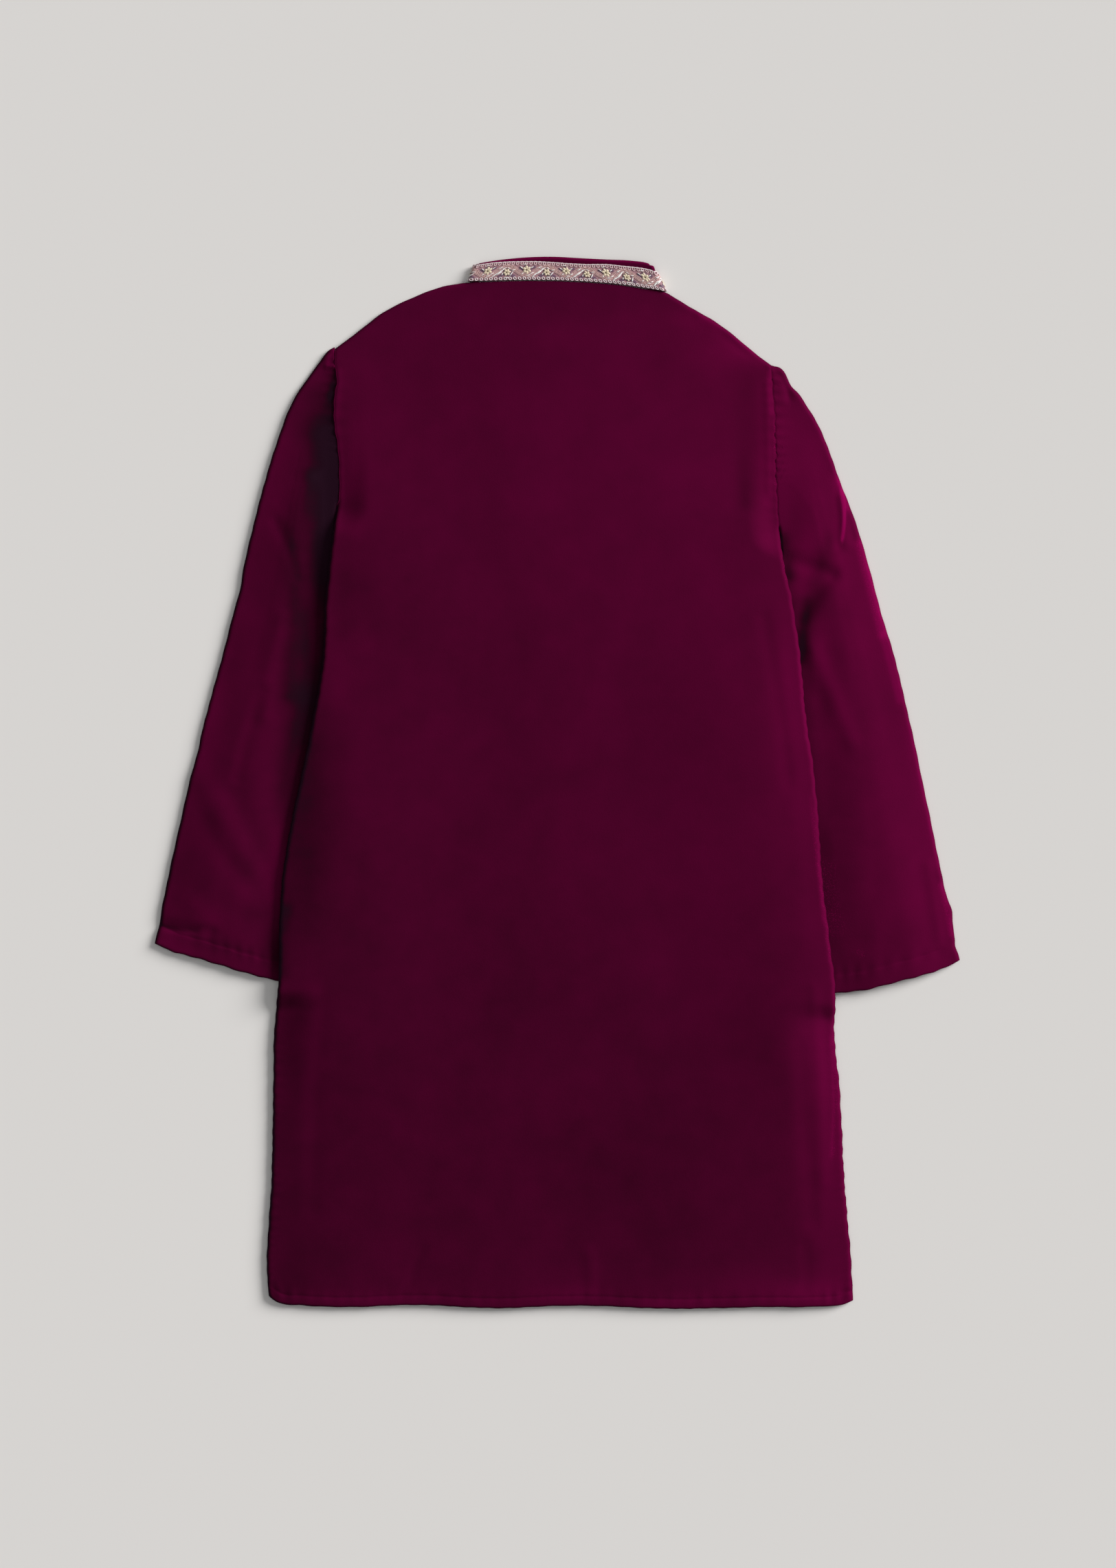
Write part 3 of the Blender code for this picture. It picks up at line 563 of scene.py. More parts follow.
# Finer creases of the upper faces, each along a line of points: a trough is positive and a ridge negative
CREASES = grouped("half_width depth path", sleeve_left=[
    (2, -0.7, [(-167.5, 303.8), (-163.5, 303.6), (-159.5, 302.6)]),
    (4.5, 0.5, [(-205, 190), (-196, 172), (-190, 150)]),
    (6, -0.5, [(-200, 120), (-210, 84), (-214, 50)]),
    (5, 0.5, [(-214, 66), (-226, 30), (-232, 4)]),
    (8, 0.4, [(-256, -28), (-240, -56), (-222, -74)]),
    (7, -0.3, [(-272, -84), (-250, -94), (-226, -116)]),
    (2.4, 0.5, [(-290, -104), (-276, -107), (-262, -107)]),
], sleeve_right=[
    (3, -0.4, [(207, 207), (208.5, 192), (208, 176)]),
    (3, 0.7, [(159, 301), (166, 292), (169, 280)]),
    (9, 0.4, [(197, 182), (190, 158), (184, 128)]),
    (10, 0.5, [(226, -50), (228, -80), (222, -112)]),
    (4.5, -0.5, [(270, -60), (275, -90), (279, -118)]),
], back_panel=[
    (4, 0.5, [(118, 330), (134, 316), (150, 307)]),
    (3, -0.5, [(104, 340), (124, 328), (144, 314)]),
    (3, -0.4, [(152.5, 292), (153.5, 250), (154, 212)]),
    (6, 0.2, [(-150, 290), (-146, 240), (-148, 200)]),
    (5, 0.4, [(150, 120), (160, 60), (168, 0)]),
    (5, -0.4, [(186, -150), (190, -210), (193, -290)]),
    (5, 0.4, [(176, -190), (180, -250), (186, -320)]),
    (6, 0.4, [(-170, -150), (-176, -230), (-178, -310)]),
    (3, 0.4, [(-106, -366), (-104, -352), (-98, -340)]),
    (3, -0.4, [(24, -370), (25, -356), (22, -340)]),
    (3, 0.4, [(180, -370), (182, -354), (180, -336)]),
], front_panel=[
    (8, -0.7, [(-120, 250), (-96, 150), (-110, 40)]),
    (9, -0.6, [(96, 230), (110, 120), (102, -20)]),
    (9, -0.6, [(-60, -60), (-74, -180), (-66, -300)]),
    (8, -0.5, [(70, -90), (86, -200), (80, -320)]),
])

# Turned hems: the fold's rounding, the groove of the stitches and the puckers beside them
HEM_ROUND = 0.9
HEM_ROUND_REACH = 1.7
STITCH_GROOVE = 0.25
PUCKER_REACH = 5.0
PUCKER_PITCH = 11.0
HEM_STITCH = 7.0
HEM_PUCKER = 0.18
CUFF_STITCH = 13.7
CUFF_PUCKER = 0.15
STITCH_START = 3.0
HEM_PAINTED_HIGHLIGHT_FADE = 1.2
GATHER_FADE = 12.0
UNEVEN_SHARE = 0.6
UNEVEN_PITCH = 2.3

# Small gathers along seams: how high, how far they reach from the seam, and how far apart they are
GATHERS = grouped("x0 y0 x1 y1 height reach pitch phase", back_panel=[
    (204, -184, 214, -372, 0.45, 7, 5.2, 0.3),
    (-206, -184, -209, -370, 0.22, 7, 6.4, 1.1),
    (156, 300, 160.5, 190, 0.2, 6, 8.5, 0),
    (-161, 312, -160, 206, 0.2, 6, 9, 0.8),
], sleeve_left=[
    (-162, 315, -161, 240, 0.35, 8, 6.5, 0.2),
], sleeve_right=[
    (156, 303, 159, 220, 0.35, 8, 6.5, 0.9),
])

# Painted light and shade, with some lighter or darker pile: spots where the cloth is painted lighter or
# darker
NAP_AND_PAINTED_LIGHT_SPOTS = grouped("x y reach_x reach_y gain", back_panel=[
    (-85, 100, 45, 80, -0.05),
    (20, 255, 150, 90, 0.05),
    (110, 160, 34, 55, 0.05),
    (104, -60, 36, 100, 0.045),
    (-148, 66, 16, 48, 0.03),
    (-148, -145, 34, 55, -0.045),
    (-190, -320, 45, 90, -0.05),
    (-55, -240, 50, 55, 0.03),
    (80, -275, 70, 45, -0.035),
    (196, -222, 18, 80, 0.1),
    (130, -180, 60, 60, 0.03),
    (180, -371, 28, 9, 0.13),
    (14, -371, 28, 6, 0.07),
    (72, -379, 16, 4, 0.06),
    (177, 70, 14, 60, 0.06),
    (152, 240, 6, 26, 0.06),
    (-153, 264, 6, 26, -0.05),
    (-182, -172, 18, 32, 0.07),
    (-176, -245, 12, 60, 0.05),
    (104, 338, 22, 8, 0.1),
    (165, 72, 8, 60, 0.07),
    (-156, 76, 9, 26, 0.055),
    (-179, -30, 15, 75, -0.09),
    (212, -60, 26, 420, 0.12),
    (185, 110, 50, 190, 0.09),
    (105, 20, 45, 230, 0.04),
    (-130, 20, 35, 190, -0.02),
    (0, 200, 260, 190, 0.03),
    (95, -377, 26, 7, 0.06),
    (-118, -377, 20, 7, 0.03),
    (-110, -260, 170, 220, -0.045),
    (100, -300, 90, 160, -0.03),
    (134, 316, 28, 12, 0.13),
    (2, 344, 36, 15, -0.05),
    (34, 36, 60, 34, 0.045),
    (140, 194, 12, 28, -0.06),
    (-147, 215, 8, 32, 0.11),
    (-154, 138, 7, 28, -0.045),
    (-122, 205, 26, 60, -0.03),
    (140, -366, 70, 14, 0.06),
    (-158, -374, 32, 6, 0.05),
    (191, -150, 13, 26, -0.06),
], sleeve_right=[
    (168, 235, 24, 70, 0.09),
    (192, 235, 14, 40, 0.08),
    (266, -40, 14, 90, 0.08),
    (184, 176, 8, 24, 0.12),
    (178, 158, 6, 16, 0.09),
    (207, 156, 7, 16, 0.1),
    (192, 96, 8, 34, 0.09),
    (203, 46, 8, 24, 0.09),
    (176, 141, 7, 10, 0.1),
    (222, 38, 8, 26, -0.05),
    (214, 124, 7, 14, -0.05),
    (238, -60, 16, 40, 0.04),
    (163, 245, 7, 40, 0.05),
    (230, 60, 90, 260, 0.13),
    (222, 130, 12, 50, 0.05),
    (284, -100, 12, 36, 0.05),
    (206, -70, 20, 70, -0.05),
], sleeve_left=[
    (-205, 235, 15, 55, 0.08),
    (-250, 75, 12, 60, 0.07),
    (-216, -110, 16, 34, -0.04),
    (-282, -116, 14, 6, 0.08),
    (-204, -124, 8, 17, -0.13),
    (-178, 283, 9, 10, -0.05),
    (-276, -60, 14, 18, -0.05),
    (-188, 195, 7, 20, 0.05),
    (-182, 106, 5, 26, -0.07),
    (-177, 250, 11, 20, -0.05),
    (-176, 92, 6, 26, 0.1),
    (-203, -66, 7, 30, 0.16),
    (-252, -99, 14, 8, 0.05),
    (-222, 108, 12, 60, 0.055),
    (-223, -58, 9, 14, -0.07),
    (-222, -95, 10, 8, -0.05),
    (-246, -119, 10, 6, -0.04),
    (-272, -124, 14, 6, 0.08),
])

# Painted highlights and painted shade along lines: bright streaks along edges, seams and folds, and dark
# bands where shadow falls
PAINTED_LIGHT_STREAKS = grouped("reach gain path", sleeve_right=[
    (1.1, 0.95, [(206.8, 212), (208.4, 203), (208.7, 190), (207.4, 177)]),
    (3.5, 0.12, [(202, 222), (203.5, 200), (203.5, 172)]),
    (2.4, 0.28, [(204.6, 220), (208.2, 210), (210.6, 200)]),
    (3.2, 0.3, [(219.5, 174), (225.5, 152), (231, 130), (236.5, 108)]),
    (2.2, 0.2, [(236.5, 108), (243, 84), (249, 60)]),
    (4, 0.09, [(226, 156), (240, 100), (251, 56), (268, -20), (276, -58)]),
    (1.8, 0.2, [(279, -74), (283.5, -94), (286.6, -110)]),
    (5, -0.21, [(164.5, 178), (166.5, 163), (169, 151)]),
    (6, -0.09, [(199, 178), (193, 157), (188.5, 143), (184, 122)]),
    (5, -0.16, [(181, 132), (180, 114), (177, 90)]),
], back_panel=[
    (5.5, -0.1, [(-197, -92), (-200, -114), (-200, -138)]),
    (1.8, 0.16, [(154.4, 299), (154.4, 284), (156, 268)]),
    (2, 0.05, [(-157.5, 300), (-158.5, 280), (-160.5, 262), (-157.5, 240), (-156.5, 205)]),
    (5, 0.06, [(150, 290), (152, 250), (153, 205)]),
    (2.4, 0.1, [(104, 338), (124, 326), (142, 313)]),
    (7, -0.05, [(133, 285), (132, 240), (136, 205)]),
    (1.3, 0.14, [(199, -184), (201, -230), (199.5, -272)]),
    (1.2, 0.1, [(184, -10), (189.5, -60), (193, -100)]),
], sleeve_left=[
    (1.6, 0.14, [(-162.5, 315), (-165.5, 310.5), (-167, 305.5)]),
    (1.1, 0.14, [(-167.5, 303.8), (-163.5, 303.8), (-159, 302.8)]),
    (1.6, -0.12, [(-160.4, 310.5), (-159.6, 307), (-159.4, 304.8)]),
    (3.4, -0.12, [(-160.5, 299), (-162.5, 292), (-164.5, 280)]),
    (8, -0.14, [(-179, 222), (-193, 170), (-191, 120), (-195, 64)]),
    (8, -0.06, [(-194, 44), (-199, 20), (-201, -4)]),
    (4, 0.06, [(-232, 170), (-245, 112), (-257, 60), (-269, 12)]),
    (2, -0.1, [(-288, -104), (-276, -106), (-262, -107)]),
    (5, 0.05, [(-262, -88), (-245, -104), (-228, -116)]),
])

# Lines of painted glints, with some lint, where bright specks are painted
LINT_AND_PAINTED_GLINTS = grouped("reach gain path", sleeve_right=[
    (2.6, 0.5, [(219.5, 174), (225.5, 152), (231, 130), (236.5, 108)]),
    (1.8, 0.35, [(279, -74), (283.5, -94), (286.6, -110)]),
    (6, 0.4, [(196, -60), (199, -84), (203, -106)]),
    (1.8, 0.7, [(219.5, -122.5), (221.5, -125)]),
], back_panel=[
    (1, 0.5, [(158.2, 264), (158.4, 240), (158.6, 216)]),
    (1.3, 0.6, [(164, 164), (167, 148)]),
    (1.6, 0.4, [(185.5, -20), (189, -57), (194, -95), (198.5, -130)]),
    (1.6, 0.35, [(200.5, -184), (202.5, -230), (200.5, -272)]),
])

# Painted shadow beside the body's raised side edge, on a sleeve and on the body, from one height of the
# plan to another
PAINTED_SHADOW_VALLEYS = grouped("side top bottom reach power gain", sleeve_left=[
    ("left", 312, 130, 22, 3, -0.2),
    ("left", 275, 110, 28, 3, -0.08),
    ("left", 190, 10, 22, 3, -0.14),
    ("left", 130, -50, 15, 4, -0.12),
], back_panel=[
    ("left", 90, -130, 12, 2, -0.07),
], sleeve_right=[
    ("right", 180, -160, 9, 2, -0.09),
])
PAINTED_SHADOW_END = 60.0
# A painted highlight over the turned hems
HEM_PAINTED_HIGHLIGHT = 0.015
# The whole collar a little darker, and a painted highlight along its rounded top fold
COLLAR_LIGHT_SHIFT = -0.02
COLLAR_RIM_PAINTED_HIGHLIGHT = 0.18
COLLAR_RIM_PAINTED_HIGHLIGHT_AT = 1.2
# Painted shade along the folds where the cloth turns under
RIM_PAINTED_SHADE = -0.10
RIM_REACH = 0.9
# Less painted light, shade and glints on the hidden lower layer of the sleeves
HIDDEN_PAINTED_LIGHT_CUT = 0.75
HIDDEN_FADE = 14.0

# Colours: the plum mixed from dark to light by the stored and painted light value, and the greyer plum
# painted where the shade is deepest
PLUM_LOW = (0.010, 0.0008, 0.004)
PLUM_HIGH = (0.25, 0.0013, 0.072)
PLUM_PAINTED_SHADE = (0.0175, 0.0044, 0.0118)
PAINTED_SHADE_START = 0.10
PAINTED_SHADE_RANGE = 0.14
SHEEN = (0.85, 0.02, 0.42)
SHEEN_WEIGHT = 0.08
SHEEN_ROUGHNESS = 0.35
VELVET_ROUGHNESS = 0.8
VELVET_SPECULAR = 0.015

# Fine relief: how many features a metre, how strong, and how deep in metres
PILE_GRAIN = (1100.0, 0.25, 0.0004)
THREAD_RELIEF = (0.5, 0.0003)

# Painted light on slopes: how much lighter the pile is painted where a slope faces the key light, and the
# plum's level on flat ground; then the pile's random clouds from large to fine, and the painted bright
# specks
PAINTED_LIGHT_SIDE = (0.86, 0.42, 0.0)
PAINTED_SLOPE_LIGHT_MOST = 0.32
PAINTED_SLOPE_LIGHT_GAIN = 0.34
PLUM_BASE_LEVEL = 0.226
PILE_CLOUDS = table(
    "scale detail gain",
    (9.0, 3.0, 0.14),
    (48.0, 3.0, 0.10),
    (1300.0, 2.0, 0.05),
)
SPECKS = 1500.0
SPECK_GAIN = 11.0
SPECK_OFFSET = -6.3

# Colours of the lace, the buttons and the ground
LACE_GROUND = (0.33, 0.175, 0.20)
LACE_LOOKS = table(
    "piece thread colour roughness shade",
    ("lace_loops", "pink_thread", (1.0, 0.74, 0.77), 0.55, 0.35),
    ("lace_edging", "dusky_thread", (0.86, 0.58, 0.60), 0.55, 0.35),
    ("lace_petals", "beige_thread", (0.74, 0.63, 0.47), 0.4, 0.35),
    ("lace_eyes", "dark_thread", (0.16, 0.13, 0.06), 0.55, 0.35),
    ("lace_vine", "rose_thread", (0.84, 0.52, 0.49), 0.55, 0.35),
    ("lace_leaves", "ivory_thread", (1.0, 0.95, 0.91), 0.4, 0.2),
    ("lace_patches", "mauve_thread", (0.15, 0.078, 0.125), 0.5, 0.35),
)
HORN = (0.10, 0.02, 0.04)
FLOOR_GREY = (0.775, 0.760, 0.744)
FLOOR_SHADES = (0.997, 1.003)
FLOOR_CLOUDS = 2.0


def from_path(path, x, y):
    """Plan distance from each point to a curve through a few points."""
    return distance_to([curve(path, PATH_POINTS)], x, y)


def creases_in(piece, x, y):
    """How much lower the finer creases make the upper face of a piece."""
    drop = np.zeros(np.shape(x))
    for crease in CREASES.get(piece, ()):
        drop += crease.depth * bell(from_path(crease.path, x, y), crease.half_width)
    return drop


def gathers_in(piece, x, y):
    """Small waves across a seam, which fade away from it."""
    rise = np.zeros(np.shape(x))
    for row in GATHERS.get(piece, ()):
        run = np.array([row.x1 - row.x0, row.y1 - row.y0])
        length = np.linalg.norm(run)
        run = run / length
        along = (x - row.x0) * run[0] + (y - row.y0) * run[1]
        away = np.abs((x - row.x0) * run[1] - (y - row.y0) * run[0])
        uneven = along / row.pitch + UNEVEN_SHARE * np.sin(along / (row.pitch * UNEVEN_PITCH) + row.phase)
        inside = smooth(along / GATHER_FADE + 0.5) * smooth((length - along) / GATHER_FADE + 0.5)
        rise += row.height * np.sin(2 * np.pi * uneven + row.phase) * inside * bell(away, row.reach)
    return rise


def stitched_edge(distance, along, depth, pucker):
    """How much lower a turned hem is near its stitches and at its fold."""
    fold = rounded(distance, HEM_ROUND, HEM_ROUND_REACH)
    groove = STITCH_GROOVE * bell(distance - depth, 1.0)
    uneven = along / PUCKER_PITCH + 0.5 * np.sin(along / 31.0) + 0.3 * np.sin(along / 17.0 + 1.0)
    waves = pucker * np.sin(2 * np.pi * uneven) * bell(distance - depth, PUCKER_REACH)
    return fold + groove + waves


def nap_and_painted_light_of(piece, x, y):
    """How much lighter or darker the cloth is painted, as painted light and shade with some lighter or
    darker pile.
    """
    light = np.zeros(np.shape(x))
    for row in NAP_AND_PAINTED_LIGHT_SPOTS.get(piece, ()):
        light += row.gain * np.exp(-(((x - row.x) / row.reach_x) ** 2) - ((y - row.y) / row.reach_y) ** 2)
    for row in PAINTED_LIGHT_STREAKS.get(piece, ()):
        light += row.gain * bell(from_path(row.path, x, y), row.reach)
    for row in PAINTED_SHADOW_VALLEYS.get(piece, ()):
        away = distance_to([SIDE_LINE[row.side], ARMHOLE_LINE[row.side]], x, y)
        inside = smooth((row.top - y) / PAINTED_SHADOW_END) * smooth((y - row.bottom) / PAINTED_SHADOW_END)
        light += row.gain * inside * bell(away, row.reach, row.power)
    return light


def lint_and_painted_glint_of(piece, x, y):
    """How strongly the painted glints, with some lint, show."""
    most = np.zeros(np.shape(x))
    for row in LINT_AND_PAINTED_GLINTS.get(piece, ()):
        most = np.maximum(most, row.gain * bell(from_path(row.path, x, y), row.reach))
    return most


def placed(name, data):
    """A new object in the scene."""
    made = bpy.data.objects.new(name, data)
    bpy.context.scene.collection.objects.link(made)
    return made


def mesh_object(name, points, faces, material):
    """A mesh from points in millimetres and faces."""
    mesh = bpy.data.meshes.new(name)
    mesh.from_pydata([tuple(point) for point in np.asarray(points) * MM], [], faces)
    mesh.update()
    mesh.shade_smooth()
    mesh.materials.append(material)
    return placed(name, mesh)


def grid_object(name, points, material, nap_and_painted_light=None, lint_and_painted_glint=None, closed=False, drop=None):
    """A sheet of quads through rows of points. A closed one joins its last column to its first."""
    rows, columns = points.shape[:2]
    kept = columns - 1 if closed else columns
    index = np.arange(rows * kept).reshape(rows, kept)
    right = np.roll(index, -1, axis=1) if closed else index[:, 1:]
    left = index if closed else index[:, :-1]
    quads = np.stack([left[:-1], right[:-1], right[1:], left[1:]], axis=-1)
    keep = np.ones(quads.shape[:2], bool) if drop is None else ~drop
    made = mesh_object(name, points[:, :kept].reshape(-1, 3), quads[keep].tolist(), material)
    for layer_name, values in (("nap_and_painted_light", nap_and_painted_light), ("lint_and_painted_glint", lint_and_painted_glint)):
        if values is not None:
            layer = made.data.attributes.new(layer_name, "FLOAT", "POINT")
            layer.data.foreach_set("value", values[:, :kept].reshape(-1).astype(np.float32))
    made.data.set_sharp_from_angle(angle=np.radians(60.0))
    return made


def thicken(made, thickness, offset, thick=None, thin_share=1.0):
    """Give a sheet its cloth thickness. Points outside the thick mask get the thin share."""
    solid = made.modifiers.new("cloth", "SOLIDIFY")
    solid.thickness = thickness * MM
    solid.offset = offset
    solid.use_quality_normals = True
    if thick is not None:
        group = made.vertex_groups.new(name="hem")
        group.add([int(k) for k in np.flatnonzero(thick)], 1.0, "REPLACE")
        solid.vertex_group = group.name
        solid.thickness_vertex_group = thin_share


def settle(made):
    """Make the thickness real, and lift inner points that a tight turn pushed below the surface."""
    graph = bpy.context.evaluated_depsgraph_get()
    shown = made.evaluated_get(graph)
    mesh = bpy.data.meshes.new_from_object(shown, preserve_all_data_layers=True, depsgraph=graph)
    made.modifiers.clear()
    made.data = mesh
    points = np.zeros(3 * len(mesh.vertices))
    mesh.vertices.foreach_get("co", points)
    points = points.reshape(-1, 3)
    points[points[:, 2] < -SUNK * MM, 2] = VELVET * MM
    mesh.vertices.foreach_set("co", points.reshape(-1))
    mesh.update()


def node(tree, kind, **values):
    """A shader node with some of its settings."""
    made = tree.nodes.new(kind)
    for key, value in values.items():
        setattr(made, key, value)
    return made


def preset(made, values):
    """Set a node's sockets to plain values."""
    for name, value in values.items():
        made.inputs[name].default_value = value


def noise(tree, place, scale, detail=2.0):
    """A noise texture in the piece's own space. The scale is in features a metre."""
    made = node(tree, "ShaderNodeTexNoise")
    preset(made, {"Scale": scale, "Detail": detail})
    tree.links.new(place, made.inputs["Vector"])
    return made.outputs["Fac"]


def maths(tree, operation, *values, clamped=False):
    """The result of a maths node on numbers and other nodes' results."""
    made = node(tree, "ShaderNodeMath", operation=operation, use_clamp=clamped)
    for socket, value in zip(made.inputs, values):
        if isinstance(value, float):
            socket.default_value = value
        else:
            tree.links.new(value, socket)
    return made.outputs[0]


def scaled(tree, value, gain, offset):
    """A value times a gain, plus an offset."""
    return maths(tree, "MULTIPLY_ADD", value, gain, offset)


def bump(tree, shader, height, strength, distance):
    """Fine relief on a shader."""
    made = node(tree, "ShaderNodeBump")
    preset(made, {"Strength": strength, "Distance": distance})
    tree.links.new(height, made.inputs["Height"])
    tree.links.new(made.outputs["Normal"], shader.inputs["Normal"])


def blank(name, roughness, specular=0.3):
    """A new material: its tree, its shader and the piece's own coordinates."""
    made = bpy.data.materials.new(name)
    made.use_nodes = True
    tree = made.node_tree
    shader = tree.nodes["Principled BSDF"]
    preset(shader, {"Roughness": roughness, "Specular IOR Level": specular})
    return made, tree, shader, node(tree, "ShaderNodeTexCoord")


# Colour sockets of a mix node
MIX_LOW = 6
MIX_HIGH = 7
MIX_COLOUR = 2


def blend(tree, share, low, high):
    """A colour between two, by a share held from 0 to 1."""
    mix = node(tree, "ShaderNodeMix", data_type="RGBA", clamp_factor=True)
    tree.links.new(share, mix.inputs["Factor"])
    preset(mix, {MIX_LOW: (*low, 1.0), MIX_HIGH: (*high, 1.0)})
    return mix.outputs[MIX_COLOUR]


def attribute(tree, name):
    """A value stored on the mesh's points."""
    return node(tree, "ShaderNodeAttribute", attribute_name=name).outputs["Fac"]


def painted_glints_and_lint(tree, place):
    """Painted bright specks as glints, with some lint, where the stored share asks for them."""
    specks = maths(tree, "MULTIPLY_ADD", noise(tree, place, SPECKS), SPECK_GAIN, SPECK_OFFSET, clamped=True)
    return maths(tree, "MULTIPLY", specks, attribute(tree, "lint_and_painted_glint"))


def velvet_material():
    """Plum velvet, lighter or darker in random soft clouds, with painted highlights on slopes facing the
    key light and the painted light, shade and glints stored on the mesh.
    """
    made, tree, shader, coords = blank("plum_velvet", VELVET_ROUGHNESS, VELVET_SPECULAR)
    place = coords.outputs["Object"]
    # Painted highlight on slopes that face the key light
    lean = node(tree, "ShaderNodeVectorMath", operation="DOT_PRODUCT")
    lean.inputs[1].default_value = PAINTED_LIGHT_SIDE
    tree.links.new(coords.outputs["Normal"], lean.inputs[0])
    light = attribute(tree, "nap_and_painted_light")
    for part in (
        scaled(tree, maths(tree, "MINIMUM", lean.outputs["Value"], PAINTED_SLOPE_LIGHT_MOST), PAINTED_SLOPE_LIGHT_GAIN, PLUM_BASE_LEVEL),
        *(scaled(tree, noise(tree, place, *row[:2]), row.gain, -row.gain / 2) for row in PILE_CLOUDS),
        painted_glints_and_lint(tree, place),
    ):
        light = maths(tree, "ADD", light, part)
    colour = blend(tree, light, PLUM_LOW, PLUM_HIGH)
    # Painted shade: where the painted light is lowest the colour turns to a greyer plum
    deep = scaled(tree, light, -1.0 / PAINTED_SHADE_RANGE, PAINTED_SHADE_START / PAINTED_SHADE_RANGE)
    shade = blend(tree, deep, PLUM_LOW, PLUM_PAINTED_SHADE)
    tree.links.new(colour, shade.node.inputs[MIX_LOW])
    tree.links.new(shade, shader.inputs["Base Color"])
    sheen = {"Weight": SHEEN_WEIGHT, "Roughness": SHEEN_ROUGHNESS, "Tint": (*SHEEN, 1.0)}
    preset(shader, {"Sheen " + name: value for name, value in sheen.items()})
    bump(tree, shader, noise(tree, place, PILE_GRAIN[0]), *PILE_GRAIN[1:])
    return made


def thread_material(name, colour, roughness=0.55, shade=0.35, scale=900.0):
    """Shiny or dull thread with fine ribs and a little unevenness."""
    made, tree, shader, coords = blank(name, roughness)
    uneven = noise(tree, coords.outputs["Object"], scale)
    dark = [part * (1.0 - shade) for part in colour]
    light = [min(part * (1.0 + shade), 1.0) for part in colour]
    tree.links.new(blend(tree, uneven, dark, light), shader.inputs["Base Color"])
    bump(tree, shader, uneven, *THREAD_RELIEF)
    return made


def floor_material():
    """The pale even ground."""
    made, tree, shader, coords = blank("pale_ground", 0.9, 0.0)
    low, high = ([part * share for part in FLOOR_GREY] for share in FLOOR_SHADES)
    share = noise(tree, coords.outputs["Object"], FLOOR_CLOUDS)
    tree.links.new(blend(tree, share, low, high), shader.inputs["Base Color"])
    return made


VELVET_LOOK = velvet_material()

# Grid lines of the body, as distances from the hem, with the last ones close to the shoulder fold
CELL = 2.6
SLEEVE_CELL = 2.0
HEM_ROWS = [0.0, 0.7, 1.5, 2.6, 4.2, 5.6, 6.4, 7.0, 7.6, 8.3, 9.4, 11.0]
SIDE_LENGTH = 574.0
ARM_LENGTH = 114.0
ARM_TOP_ROWS = [109.0, 110.6, 112.0, 113.0, 113.6, 113.96, 114.0]
BODY_ROWS = [
    *HEM_ROWS,
    *np.arange(HEM_ROWS[-1] + 2.5, SIDE_LENGTH - 1.0, CELL),
    SIDE_LENGTH,
    *(SIDE_LENGTH + np.arange(CELL, ARM_TOP_ROWS[0] - 1.0, CELL)),
    *(SIDE_LENGTH + row for row in ARM_TOP_ROWS),
]
BODY_V = np.array(BODY_ROWS) / (SIDE_LENGTH + ARM_LENGTH)
BODY_COLUMNS = 106
FRONT_NECK_SWEEP = 84.0
FOLD_COLUMNS = [0.0, 0.00012, 0.0012, 0.0030, 0.0055, 0.009, 0.0128]
EDGE_COLUMNS = list(np.arange(0.0166, 0.056, 0.0038))
LEFT_NECK = 0.5 * (SHOULDERS[-1].left_x - SHOULDERS[0].left_x) / (NECK_CENTRE[0] - SHOULDERS[0].left_x)
RIGHT_NECK = 0.5 + 0.5 * (SHOULDERS[-1].right_x - NECK_CENTRE[0]) / (SHOULDERS[0].right_x - NECK_CENTRE[0])


def mirrored(values):
    """Fractions from 0 to 1 whose upper half mirrors the lower half, which ends at 0.5 or below."""
    upper = [1.0 - value for value in values if value != 0.5]
    return np.array(sorted({*values, *upper}))


def body_sides(vs):
    """The left and right boundaries of a panel at the row fractions."""
    share = SIDE_LENGTH / (SIDE_LENGTH + ARM_LENGTH)
    edges = []
    for side in OUTWARD:
        below = at(SIDE_LINE[side], held(vs / share))
        above = at(ARMHOLE_LINE[side], held((vs - share) / (1.0 - share)))
        edge = np.where(vs[:, None] <= share, below, above)
        beside = smooth((edge[:, 1] - SIDE_LINE[side][-1, 1] + SEAM_FADE) / SEAM_START)
        beside *= smooth((SHOULDER_LINE[side][0, 1] - edge[:, 1]) / SEAM_FADE)
        edge[:, 0] -= OUTWARD[side] * SEAM_GAP * beside
        edges.append(edge)
    return edges


def top_edge(us, neck):
    """The shoulders and a neckline as one boundary, at the column fractions."""
    left = at(SHOULDER_LINE["left"], held(us / LEFT_NECK))
    right = at(SHOULDER_LINE["right"], held((1.0 - us) / (1.0 - RIGHT_NECK)))
    middle = neck(us)
    edge = np.where(us[:, None] <= LEFT_NECK, left, np.where(us[:, None] >= RIGHT_NECK, right, middle))
    inside = (us > LEFT_NECK - 0.002) & (us < RIGHT_NECK + 0.002)
    edge[inside, 1] -= COLLAR_SEAM_GAP
    return edge


def neck_x(us):
    """The x of both necklines at the column fractions."""
    return np.interp(us, [LEFT_NECK, 0.5, RIGHT_NECK], [BACK_NECK[0].x, NECK_CENTRE[0], BACK_NECK[-1].x])


def back_neck(us):
    """The back neckline, spread by column fraction."""
    line, x = curve(BACK_NECK), neck_x(us)
    return joined(x, np.interp(x, line[:, 0], line[:, 1]))


def front_neck(us):
    """The deep round front neckline, spread by column fraction."""
    x = neck_x(us)
    across = np.clip((x - NECK_CENTRE[0]) / NECK_HALF_WIDTH, -1.0, 1.0)
    chord = np.interp(x, [BACK_NECK[0].x, BACK_NECK[-1].x], [BACK_NECK[0].y, BACK_NECK[-1].y])
    return joined(x, chord - NECK_DROP * np.sqrt(1.0 - across**2))


